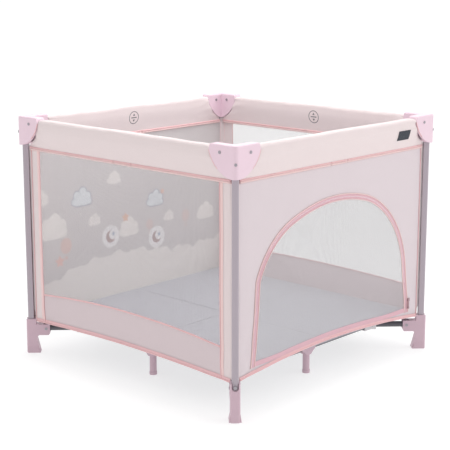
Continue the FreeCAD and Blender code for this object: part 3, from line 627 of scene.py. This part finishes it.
def band_point(side, u, t):
    """The padded sleeve's surface: plump, with shallow dips away from the lock and a pucker at each cap."""
    run = t * SLEEVE_GIRTH
    w, z = band_profile(run)
    free = smooth((abs(u) - 0.045) / 0.05)
    belly = math.sin(math.pi * clamp((z - BAND_LOW) / (SLEEVE_TOP - BAND_LOW))) * 0.0009
    wave = soft(side, u, run, 0.11, 0.0024) + soft(side, u * 0.6, run + 3, 0.035, 0.0006)
    edge = max(cloth_end(z) - abs(u), 0)
    pucker = math.exp(-edge / 0.006) * 0.0040 * (z < CAP_TOP - 0.012) * (z > CAP_LOW)
    crease = 0.0012 * math.sin(z * 210 + u * 40) * math.exp(-edge / 0.03)
    out = belly + wave * 0.5 * smooth((z - BAND_LOW) / 0.02) * (0.3 + 0.7 * free) - pucker + crease
    shoulder = ((w - SLEEVE_CENTRE) / SLEEVE_ROUND) ** 4
    w += -out if t > 0.5 else out
    rise = smooth((z - SLEEVE_TOP + SLEEVE_ROUND) / 0.012)
    z -= rise * (free * (0.0030 * shoulder + abs(wave) * 0.9) + 0.0035 * math.exp(-edge / 0.012))
    return w, z, run


# ---------------------------------------------------------------- sleeves over the rails
SPLIT = 0.038  # half the stretch that goes down with a lock


def band_piece(side, name, where):
    """One stretch of a side's sleeve; where gives u from a share of the stretch and a height."""
    def place(t, s):
        u = where(s, band_profile(t * SLEEVE_GIRTH)[1])
        w, z, run = band_point(side, u, t)
        return turn(side, u, w, z), (u, run)

    made = Sheet(f"{side}_sleeve_{name}")
    stations = spread(0, 1, 24) if name == "middle" else spread(0, 1, 84, 0.35)
    made.patch(*grid(spread(0, 1, 64), stations, place))
    return made.make(BAND_MARKED if name == "middle" else BAND)


def sleeve(side):
    """A padded sleeve in three stretches: one with each half rail and one with the lock between them."""
    stretches = {
        "first": (f"{side}_rail_a", lambda s, z: -cloth_end(z) + (cloth_end(z) - SPLIT) * s, LEG - SPLIT),
        "middle": (f"{side}_lock", lambda s, z: SPLIT * (2 * s - 1), 2 * SPLIT),
        "second": (f"{side}_rail_b", lambda s, z: SPLIT + (cloth_end(z) - SPLIT) * s, LEG - SPLIT),
    }
    for name, (body, where, length) in stretches.items():
        piece = band_piece(side, name, where)
        cord = Sheet(f"{side}_sleeve_{name}_piping")
        stations = spread(0, 1, 60 if name != "middle" else 8)
        edging = Sheet(f"{side}_sleeve_{name}_edging")
        for t, out in ((0.0, 0.0007), (1.0, -0.0007)):
            path, lower = [], []
            for s in stations:
                u = where(s, BAND_LOW)
                w, z, _ = band_point(side, u, t)
                path.append(turn(side, u, w + out, z + 0.0048))
                lower.append(turn(side, u, w + out * 0.6, z - 0.0006))
            cord.tube(path, 0.0030)
            edging.tube(lower, 0.0032)
        if name != "middle":
            sign = -1 if name == "first" else 1
            ring = []
            for z in spread(CAP_LOW + 0.022, CAP_TOP - 0.016, 26):
                u = sign * (cloth_end(z) - 0.0014)
                w, height, _ = band_point(side, u, outer_run(z) / SLEEVE_GIRTH)
                ring.append(turn(side, u, OUTER + 0.0010, height))
            cord.tube(ring, 0.0014)
        trim = cord.make(PIPING)
        hem = edging.make(EDGING)
        for made in (piece, trim, hem):
            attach(made, body)
            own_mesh(made)


# ---------------------------------------------------------------- walls
def run_at(side, u_of, count, out=0.0012):
    """A path on the wall's outer face."""
    path = []
    for t in spread(0, 1, count):
        u, z = u_of(t)
        path.append(turn(side, u, face_at(side, u, z) + out, z))
    return path


def wall_patch(sheet, side, us, low, high, count, out=0.0, paint=None):
    """A patch of wall between two heights, each given as a function of u."""
    def place(t, u):
        z = low(u) + (high(u) - low(u)) * t
        return turn(side, u, face_at(side, u, z) + out, z), (u, z)

    rows, flat = grid(spread(0, 1, count), us, place)
    sheet.patch(rows, flat, [[paint(u, z) for u, z in places] for places in flat] if paint else None)


def band_foot(_):
    """The height of a wall's upper edge, the same all along it."""
    return WALL_TOP


def hem_run(side, end):
    """A path along a wall's hem."""
    return run_at(side, lambda t: (end * (2 * t - 1), hem_at(side, end * (2 * t - 1))), 120)


def seam_run(side, u, foot, out=0.0012):
    """An upright path on a wall, up to the sleeve."""
    return run_at(side, lambda t: (u, foot + (WALL_TOP - foot) * t), 80, out)


def hem_binding(side):
    """Tape folded over a wall's lower edge."""
    made = Sheet(f"{side}_hem_binding")
    end = seam(side)
    wall_patch(made, side, spread(-end, end, 120), lambda u: hem_at(side, u) - 0.0006,
               lambda u: hem_at(side, u) + (0.0105 if side != "front" else 0.0085), 5, 0.0013)
    piece = made.make(HEM_CLOTH)
    on_side(piece, side)


def window_wall(side):
    """Two strips and a skirt round a window of netting, or the printed panel across the whole back wall."""
    tall = BAND_LOW - HEM_LOW[side] + 0.01
    end = seam(side)
    hem = lambda u: hem_at(side, u)
    pieces, cord = [], Sheet(f"{side}_wall_piping")
    cord.tube(hem_run(side, end), 0.0024)
    for sign in (-1, 1):
        if (side, sign) != ("left", 1):  # beside the leg that carries both walls the seam is a plain fold
            cord.tube(seam_run(side, sign * end, SEAM_FOOT), 0.0014)
    if side == "back":
        window = Sheet("back_printed_panel")
        wall_patch(window, side, spread(-end, end, 350), hem, band_foot, 216, 0, night_sky)
        pieces.append((window.make(PRINTED), 2 * end, tall))
    else:
        for name, sign in (("left", -1), ("right", 1)):
            strip, binding = Sheet(f"{side}_strip_{name}"), Sheet(f"{side}_binding_{name}")
            us = sorted(sign * u for u in spread(STRIP, end, 12))
            wall_patch(strip, side, us, hem, band_foot, 90)
            us = sorted(sign * u for u in spread(STRIP + 0.0015, STRIP + 0.0125, 4))
            wall_patch(binding, side, us, lambda u: hem(u) + 0.001, band_foot, 90, 0.0009)
            pieces.append((strip.make(STRIP_CLOTH), end - STRIP, tall))
            pieces.append((binding.make(BINDING_CLOTH), 0.0115, tall))
            cord.tube(seam_run(side, sign * (STRIP + 0.001), hem(STRIP)), 0.0015)
        skirt = Sheet(f"{side}_skirt")
        edge = lambda u: skirt_at(side, u)
        us = spread(-STRIP, STRIP, 110)
        wall_patch(skirt, side, us, hem, edge, 16)
        # the left skirt takes the darker copy of the skirt cloth (painted shade), the right skirt the pale
        # cloth
        pieces.append((skirt.make(SHADED_SKIRT_CLOTH if side == "left" else PALE_CLOTH), 2 * STRIP, 0.115))
        window = Sheet(f"{side}_window")
        wall_patch(window, side, us, lambda u: edge(u) - 0.002, band_foot, 90, -0.0003)
        pieces.append((window.make(WINDOW_NET), 2 * STRIP, 0.46))
        cord.tube(run_at(side, lambda t: (STRIP * (2 * t - 1), edge(STRIP * (2 * t - 1))), 110), 0.0026)
    trim = cord.make(PIPING)
    on_side(trim, side)
    for piece, width, length in pieces:
        on_side(piece, side)
    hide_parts(f"wall_{side}")
    hem_binding(side)


# ---- the print: clouds, stars and two round badges over a bank of cloud
CLOUDS = [  # along X, height, width, strength
    (-0.062, 0.513, 0.058, 1.0), (0.373, 0.335, 0.082, 1.0), (-0.323, 0.384, 0.110, 1.0),
    (-0.152, 0.383, 0.052, 0.9), (0.001, 0.334, 0.086, 1.0), (0.190, 0.346, 0.048, 0.9),
    (-0.375, 0.485, 0.070, 0.9),
]
LINED_CLOUDS = [(-0.203, 0.466, 0.086), (0.124, 0.416, 0.080)]
BADGES = [(-0.081, 0.317), (0.130, 0.281)]
STARS = [(-0.013, 0.371, 0.017, srgb(236, 188, 160)), (0.160, 0.437, 0.011, srgb(236, 190, 170)),
         (-0.300, 0.270, 0.020, srgb(240, 190, 176))]
BALLOONS = [(-0.273, 0.318, 0.023, 0.95), (0.273, 0.334, 0.019, 0.55), (0.098, 0.330, 0.016, 0.55)]
DOTS = [(0.035, 0.480), (-0.066, 0.452), (-0.125, 0.518), (-0.296, 0.478), (-0.210, 0.412), (0.320, 0.400),
        (0.005, 0.540), (-0.205, 0.352), (0.150, 0.372), (0.230, 0.470), (-0.370, 0.560), (0.285, 0.520),
        (-0.010, 0.590), (0.180, 0.580), (-0.280, 0.585), (0.350, 0.470)]
PUFFS = [(0.0, -0.03, 0.27), (0.07, 0.22, 0.21), (-0.22, 0.11, 0.19), (0.31, 0.05, 0.18),
         (-0.37, -0.12, 0.155), (-0.18, -0.2, 0.19), (0.13, -0.21, 0.2), (0.37, -0.17, 0.15)]
CLOUD_BASE = -0.33  # below its middle, as a share of its width


def cloud_depth(x, z, cx, cz, width):
    """How deep inside a cloud's outline a point is, in metres; negative outside."""
    puffs = max(r * width - math.hypot(x - cx - px * width, z - cz - pz * width) for px, pz, r in PUFFS)
    return min(puffs, z - cz - CLOUD_BASE * width)


def star_depth(x, z, cx, cz, size):
    """The same, for a five-pointed star."""
    angle = math.atan2(x - cx, z - cz)
    r = math.hypot(x - cx, z - cz)
    wedge = abs((angle / (2 * math.pi) * 5) % 1 - 0.5) * 2
    return size * (0.45 + 0.55 * wedge) - r


def bank_height(x):
    """The top of the bank of cloud along the foot of the print."""
    height = 0.232 + 0.016 * math.cos((x + 0.05) * 9) - 0.035 * smooth((-x - 0.2) / 0.25)
    bumps = 0.014 * abs(math.sin(x * 31)) + 0.009 * abs(math.sin(x * 57 + 1)) + 0.004 * abs(math.sin(x * 113))
    return height + bumps - 0.008


def night_sky(u, z):
    """The print's colour at a place on the back wall."""
    x, z = 0.023 - u, z - 0.003
    ground = PRINT
    white = srgb(240, 235, 231)
    blue = srgb(228, 232, 235)
    ink = srgb(164, 168, 180)
    blur = 0.0022
    for cx, cz in DOTS:
        if abs(x - cx) < 0.01 and abs(z - cz) < 0.01:
            ground = mix(ground, white, 0.8 * smooth((0.0034 - math.hypot(x - cx, z - cz)) / blur + 0.5))
    for cx, cz, width, strength in CLOUDS:
        if abs(x - cx) < width and abs(z - cz) < width:
            ground = mix(ground, white, strength * smooth(cloud_depth(x, z, cx, cz, width) / blur + 0.5))
    for cx, cz, width in LINED_CLOUDS:
        if abs(x - cx) < width and abs(z - cz) < width:
            depth = cloud_depth(x, z, cx, cz, width)
            ground = mix(ground, ink, smooth(depth / blur + 0.5))
            ground = mix(ground, blue, smooth((depth - 0.003) / blur + 0.5))
            inner = cloud_depth(x, z, cx - 0.012, cz - 0.009, width * 0.6)
            ground = mix(ground, ink, 0.4 * smooth(1.2 - abs(inner) / 0.0014) * (depth > 0.004))
    for cx, cz, size, strength in BALLOONS:
        r = math.hypot(x - cx, (z - cz) * 0.88)
        peach = srgb(230, 192, 180)
        ground = mix(ground, peach, strength * 0.75 * smooth((size - r) / 0.003 + 0.5))
        basket = max(abs(x - cx) - size * 0.28, abs(z - cz + size * 1.75) - size * 0.25)
        ground = mix(ground, peach, strength * 0.8 * smooth(-basket / 0.003 + 0.5))
    for cx, cz, size, colour in STARS:
        if abs(x - cx) < 0.03 and abs(z - cz) < 0.03:
            ground = mix(ground, colour, 0.85 * smooth(star_depth(x, z, cx, cz, size) / blur + 0.5))
    height = bank_height(x)
    ground = mix(ground, mix(white, PRINT, 0.05), smooth((height - z) / 0.004 + 0.5))
    for cx, cz in BADGES:
        r = math.hypot(x - cx, z - cz)
        if r < 0.045:
            ground = mix(ground, srgb(240, 238, 238), smooth((0.038 - r) / blur + 0.5))
            moon = min(0.021 - math.hypot(x - cx, z - cz), math.hypot(x - cx - 0.010, z - cz - 0.006) - 0.017)
            ground = mix(ground, srgb(178, 152, 150), smooth(moon / blur + 0.5))
            ground = mix(ground, srgb(176, 184, 200),
                         smooth(star_depth(x, z, cx + 0.012, cz + 0.008, 0.009) / blur + 0.5))
    return ground


# ---- the front wall and its door
def arc_points(a, b, c, count):
    """Points from a to c on the arc through b."""
    x, y, r = circle_through(a, b, c)
    first = math.atan2(a[1] - y, a[0] - x)
    last = math.atan2(c[1] - y, c[0] - x)
    if last > first:
        last -= 2 * math.pi
    angles = [first + (last - first) * i / count for i in range(count + 1)]
    return [(x + r * math.cos(a), y + r * math.sin(a)) for a in angles]


LEFT_FOOT, RIGHT_FOOT, DOOR_FOOT, DOOR_TOP = door_low.x, door_high.x, door_low.z, door_high.z
LEFT_JAMB, RIGHT_JAMB = (-0.3434, 0.3690), (0.3402, 0.2982)
LEFT_SHOULDER, CROWN, RIGHT_SHOULDER = (-0.1896, 0.5196), (-0.020, DOOR_TOP), (0.1461, 0.5319)


def arch():
    """The door's outline from its left foot over the crown to its right foot."""
    path = [(LEFT_FOOT + (LEFT_JAMB[0] - LEFT_FOOT) * t, DOOR_FOOT + (LEFT_JAMB[1] - DOOR_FOOT) * t)
            for t in spread(0, 1, 36)]
    path += arc_points(LEFT_JAMB, (LEFT_JAMB[0] + 0.0528, LEFT_JAMB[1] + 0.085), LEFT_SHOULDER, 34)[1:]
    path += arc_points(LEFT_SHOULDER, CROWN, RIGHT_SHOULDER, 44)[1:]
    path += arc_points(RIGHT_SHOULDER, (RIGHT_JAMB[0] - 0.0696, RIGHT_JAMB[1] + 0.1509), RIGHT_JAMB, 40)[1:]
    x, z = RIGHT_JAMB
    path += [(x + (RIGHT_FOOT - x) * t, z + (DOOR_FOOT - z) * t) for t in spread(0, 1, 36)[1:]]
    return path


ARCH = arch()


def offset(path, out):
    """A path moved outward, away from the door's middle."""
    moved = []
    for i, (x, z) in enumerate(path):
        ax, az = path[max(i - 1, 0)]
        bx, bz = path[min(i + 1, len(path) - 1)]
        length = math.hypot(bx - ax, bz - az)
        moved.append((x - (bz - az) / length * out, z + (bx - ax) / length * out))
    moved[0] = (moved[0][0], path[0][1])
    moved[-1] = (moved[-1][0], path[-1][1])
    return moved


def front_point(u, z, out=0.0):
    return turn("front", u, face_at("front", u, z) + out, z)


def frame_end(x, z):
    """Where a ray from the door's middle through a point of the arch meets the wall's edge."""
    middle_x, middle_z = 0.0, DOOR_FOOT
    dx, dz = x - middle_x, max(z - middle_z, 1e-6)
    reach = []
    if abs(dx) > 1e-9:
        reach.append(((SEAM if dx > 0 else -SEAM) - middle_x) / dx)
    reach.append((WALL_TOP - middle_z) / dz)
    k = min(reach)
    return middle_x + dx * k, middle_z + dz * k


def ribbon(sheet, inner, outer, out, count=3):
    """Flat tape between two paths on the front wall, lying proud of it."""
    run = 0.0
    columns = [[] for _ in range(count + 1)]
    places = [[] for _ in range(count + 1)]
    for i, (a, b) in enumerate(zip(inner, outer)):
        run += math.hypot(a[0] - inner[i - 1][0], a[1] - inner[i - 1][1]) if i else 0
        for j in range(count + 1):
            t = j / count
            x, z = a[0] + (b[0] - a[0]) * t, a[1] + (b[1] - a[1]) * t
            columns[j].append(front_point(x, z, out + 0.0005 * math.sin(math.pi * t)))
            places[j].append((run, t * math.hypot(b[0] - a[0], b[1] - a[1])))
    sheet.patch(columns, places)


def front_wall():
    """The panel round the doorway, its zip tape and piping."""
    panel = Sheet("front_panel")
    doorway = offset(ARCH, 0.0065)
    ends = [frame_end(x, z) for x, z in doorway]

    def place(t, pair):
        (ax, az), (bx, bz) = pair
        u, z = ax + (bx - ax) * t, az + (bz - az) * t
        return front_point(u, z), (u, z)

    panel.patch(*grid(spread(0, 1, 40), list(zip(doorway, ends)), place))
    # the top corners, which the rays run past
    for sign in (-1, 1):
        us = sorted(sign * u for u in spread(SEAM - 0.16, SEAM, 20))
        wall_patch(panel, "front", us, lambda u: 0.50, band_foot, 30, out=-0.0012)
    # the strip under the doorway
    def sill(u):
        return max(DOOR_FOOT + 0.001, hem_at("front", u) + 0.008) + (0.002 if abs(u) > 0.375 else 0)

    wall_patch(panel, "front", spread(-SEAM, SEAM, 120), lambda u: hem_at("front", u), sill, 5, -0.0006)
    panel_piece = panel.make(PANEL_CLOTH)
    tape = Sheet("front_zip_tape")
    ribbon(tape, offset(ARCH, 0.0005), offset(ARCH, 0.0075), 0.0008)
    tape_piece = tape.make(TAPE_CLOTH)
    edge = Sheet("front_zip_edge")
    edge.tube([front_point(x, z, 0.0014) for x, z in offset(ARCH, 0.0082)], 0.0018)
    edge_piece = edge.make(EDGING)
    cord = Sheet("front_wall_piping")
    cord.tube(hem_run("front", SEAM), 0.0024)
    cord.tube(seam_run("front", SEAM, SEAM_FOOT), 0.0014)
    trim = cord.make(PIPING)
    for made in (panel_piece, tape_piece, edge_piece, trim):
        on_side(made, "front")
    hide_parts("wall_front")
    hem_binding("front")


def door():
    """A net door with its own tape, hung by its foot and zipped round."""
    mesh = Sheet("door_net")
    middle = (-0.010, DOOR_FOOT + 0.012)

    def place(t, corner):
        x, z = corner[0], max(corner[1], middle[1])
        u, h = middle[0] + (x - middle[0]) * t, middle[1] + (z - middle[1]) * t
        return front_point(u, h, -0.0004), (u, h)

    mesh.patch(*grid(spread(0.02, 1, 40), offset(ARCH, -0.0065), place))
    net_piece = mesh.make(DOOR_NET)
    tape = Sheet("door_tape")
    ribbon(tape, offset(ARCH, -0.0075), offset(ARCH, -0.0004), 0.0008)
    foot = [(x, max(DOOR_FOOT + 0.0015, hem_at("front", x) + 0.009))
            for x in spread(LEFT_FOOT + 0.008, RIGHT_FOOT - 0.008, 60)]
    ribbon(tape, foot, [(x, z + 0.014) for x, z in foot], 0.0012)
    tape_piece = tape.make(TAPE_CLOTH)
    cord = Sheet("door_piping")
    cord.tube([front_point(x, z, 0.0014) for x, z in offset(ARCH, -0.0080)], 0.0016)
    trim = cord.make(EDGING)
    for made in (net_piece, tape_piece, trim):
        on_side(made, "front", "door")
    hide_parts("door_flap")


# ---------------------------------------------------------------- inside the corners
def gusset(k, corner):
    """A strip that closes the corner on the inside of the leg, from the floor up to the cap."""
    deep = LEG - FACE
    section = []
    for side, flip in ((SIDES[k], False), (SIDES[k - 1], True)):
        near = LEG - seam(side)  # the seam's place from the leg's axis
        half = [(near, deep), (max(near - 0.0045, 0.0134), deep + 0.0008), (0.0138, 0.0064), (0.0124, 0.0084)]
        half = [(y, x) for x, y in reversed(half)] if flip else half + [(0.0104, 0.0104)]
        section += half
    made = Sheet(f"gusset_{corner}")

    def place(z, i):
        x, y = section[i]
        wobble = 0.0005 * noise.noise(Vector((z * 14, i * 0.7, k)))
        if 2 <= i <= len(section) - 3:  # drawn in against the leg, above the foot bracket's collar
            wobble -= 0.0022 * smooth((z - 0.13) / 0.012)
        x, y = -LEG + x + wobble, -LEG + y + wobble
        for _ in range(k):
            x, y = -y, x
        return Vector((x, y, z)), (i * 0.0045, z)

    made.patch(*grid(spread(GUSSET_FOOT, CAP_LOW - 0.001, 60), range(len(section)), place))
    piece = made.make(STRIP_CLOTH)
    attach(piece, POST[corner])


# ---------------------------------------------------------------- the padded floor
def rim_height(x, y):
    """How far the mat's edge is drawn up with the walls' hems."""
    lift = 0.0
    edges = (("front", y + LEG, x), ("right", LEG - x, y), ("back", LEG - y, x), ("left", x + LEG, y))
    for side, distance, along in edges:
        near = clamp(1 - distance / 0.09) ** 2
        lift = max(lift, near * LIFT[side] * 0.62 * (1 - (along / LEG) ** 2))
    return lift


def mat_edge(side_x, side_y, s, t):
    """A point of a quadrant, s and t from the middle of the mat to its outer edges."""
    half = FACE - 0.0035
    x, y = s * half, t * half
    # the corner is cut off round the leg
    over = s + t - 1.950
    if over > 0:
        x -= over * half * 0.5
        y -= over * half * 0.5
    pull_x = (PULL["left"] if side_x < 0 else PULL["right"]) * (1 - t * t) * s ** 8
    pull_y = (PULL["front"] if side_y < 0 else PULL["back"]) * (1 - s * s) * t ** 8
    return side_x * (x - pull_x), side_y * (y - pull_y)


def mat_quarter(k, corner):
    """A quarter of the mat, a closed padded form that rides on its own floor arm."""
    side_x, side_y = [(-1, -1), (1, -1), (1, 1), (-1, 1)][k]
    made = Sheet(f"mat_{corner}")
    steps = spread(0, 1, 56)
    top, under, flat = [], [], []
    for t in steps:
        row, low, places = [], [], []
        for s in steps:
            x, y = mat_edge(side_x, side_y, s, t)
            edge = clamp(min(1 - s, 1 - t) * 0.45 / 0.012)
            roll = math.sqrt(max(0.0, 1 - (1 - edge) ** 2))
            lift = rim_height(x, y)
            unevenness = 0.0011 * noise.noise(Vector((x / 0.13, y / 0.13, 2.0)))
            unevenness += 0.0004 * noise.noise(Vector((x / 0.03, y / 0.03, 5.0)))
            middle = 0.1158 + lift
            crown = 0.0052 * roll
            row.append(Vector((x, y, middle + crown + unevenness * edge)))
            low.append(Vector((x, y, middle - (0.0036 + 0.006 * (1 - max(s, t) ** 6)) * roll)))
            places.append((x, y))
        top.append(row)
        under.append(low)
        flat.append(places)
    made.patch(top, flat)
    made.patch([list(reversed(row)) for row in under], [list(reversed(row)) for row in flat])
    # the two cut faces where quarters meet
    for a, b in ((top[0], under[0]), ([row[0] for row in under], [row[0] for row in top])):
        made.patch([a, b], [[(p.x, p.y + p.z) for p in a], [(p.x, p.y + p.z) for p in b]])
    piece = made.make(MAT_TOP)
    bm = bmesh.new()
    bm.from_mesh(piece.data)
    bmesh.ops.remove_doubles(bm, verts=bm.verts, dist=1e-5)
    bmesh.ops.recalc_face_normals(bm, faces=bm.faces)
    bm.to_mesh(piece.data)
    bm.free()
    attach(piece, "arm_" + corner)
    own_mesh(piece)
    return piece


# ---------------------------------------------------------------- the label
def label():
    """A blank woven label near the right end of the front sleeve."""
    left, right, low, high = 0.2705, 0.3275, outer_run(0.6905), outer_run(0.7185)

    def place(run, u):
        w, z, along = band_point("front", u, run / SLEEVE_GIRTH)
        return turn("front", u, w + 0.0009, z), (u, along)

    patch = Sheet("front_label")
    patch.patch(*grid(spread(low, high, 8), spread(left, right, 14), place))
    piece = patch.make(LABEL)
    edge = [(left, low), (right, low), (right, high), (left, high)]
    hem = Sheet("front_label_edge")
    path = []
    for i, (u, run) in enumerate(edge):
        v, to = edge[(i + 1) % 4]
        for t in spread(0, 1, 8)[:-1]:
            a = u + (v - u) * t
            w, h, _ = band_point("front", a, (run + (to - run) * t) / SLEEVE_GIRTH)
            path.append(turn("front", a, w + 0.0010, h))
    hem.tube(path, 0.0006, 6, closed=True)
    hem_piece = hem.make(LABEL)
    for made in (piece, hem_piece):
        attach(made, "front_rail_b")
        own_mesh(made)


for side in SIDES:
    sleeve(side)
    if side != "front":
        window_wall(side)
front_wall()
door()
for number, corner in enumerate(CORNERS):
    gusset(number, corner)
quarters = [mat_quarter(number, corner) for number, corner in enumerate(CORNERS)]
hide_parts("floor_mat")
label()

# ---------------------------------------------------------------- stage, light and camera
bpy.ops.mesh.primitive_plane_add(size=160, location=(0, 0, 0))
floor = bpy.context.object
floor.name = "studio_floor"
paper = Material("studio_paper", (0.45, 0.45, 0.45), 0.95)
paper.shader.inputs["Specular IOR Level"].default_value = 0.1
paper.shader.inputs["Emission Color"].default_value = (1, 1, 1, 1)
paper.shader.inputs["Emission Strength"].default_value = 0.62
floor.data.materials.append(paper.material)

world = bpy.data.worlds.new("studio")
bpy.context.scene.world = world
world.use_nodes = True
sky = world.node_tree
sky.nodes["Background"].inputs["Color"].default_value = (1.0, 1.0, 1.0, 1)
toward = sky.nodes.new("ShaderNodeVectorMath")  # the studio is dimmer behind the photographer
toward.operation = "DOT_PRODUCT"
toward.inputs[1].default_value = (0.8, 0.6, 0.0)
sky.links.new(sky.nodes.new("ShaderNodeTexCoord").outputs["Generated"], toward.inputs[0])
dimmer = sky.nodes.new("ShaderNodeMapRange")
for key, amount in (("From Min", -0.9), ("From Max", 0.3), ("To Min", 0.56), ("To Max", 1.12)):
    dimmer.inputs[key].default_value = amount
sky.links.new(toward.outputs["Value"], dimmer.inputs["Value"])
sky.links.new(dimmer.outputs[0], sky.nodes["Background"].inputs["Strength"])


def soft_box(name, place, aim, size, power):
    data = bpy.data.lights.new(name, "AREA")
    data.shape = "RECTANGLE"
    data.size, data.size_y = size
    data.energy = power
    lamp = bpy.data.objects.new(name, data)
    lamp.location = place
    lamp.visible_camera = False
    lamp.rotation_mode = "QUATERNION"
    lamp.rotation_quaternion = (Vector(place) - Vector(aim)).to_track_quat("Z", "Y")
    bpy.context.scene.collection.objects.link(lamp)


soft_box("key", (2.6, -3.4, 2.6), (0, 0, 0.4), (2.2, 2.2), 34)
soft_box("fill", (-3.2, -1.8, 2.2), (0, 0, 0.4), (2.4, 2.4), 4)
soft_box("top", (0.05, 0.05, 1.75), (0, 0, 0), (0.9, 0.9), 10)

azimuth, elevation, distance = math.radians(-47.0), math.radians(11.3), 3.813
flat = math.cos(elevation)
back = Vector((math.sin(azimuth) * flat, -math.cos(azimuth) * flat, math.sin(elevation)))
camera_data = bpy.data.cameras.new("camera")
camera_data.lens = 97.3
camera_data.shift_x = -0.0047
camera_data.shift_y = -0.0556
camera = bpy.data.objects.new("camera", camera_data)
camera.location = Vector((0, 0, 0.488)) + back * distance
camera.rotation_mode = "QUATERNION"
camera.rotation_quaternion = back.to_track_quat("Z", "Y")
bpy.context.scene.collection.objects.link(camera)
bpy.context.scene.camera = camera
bpy.context.scene.view_settings.view_transform = "Standard"
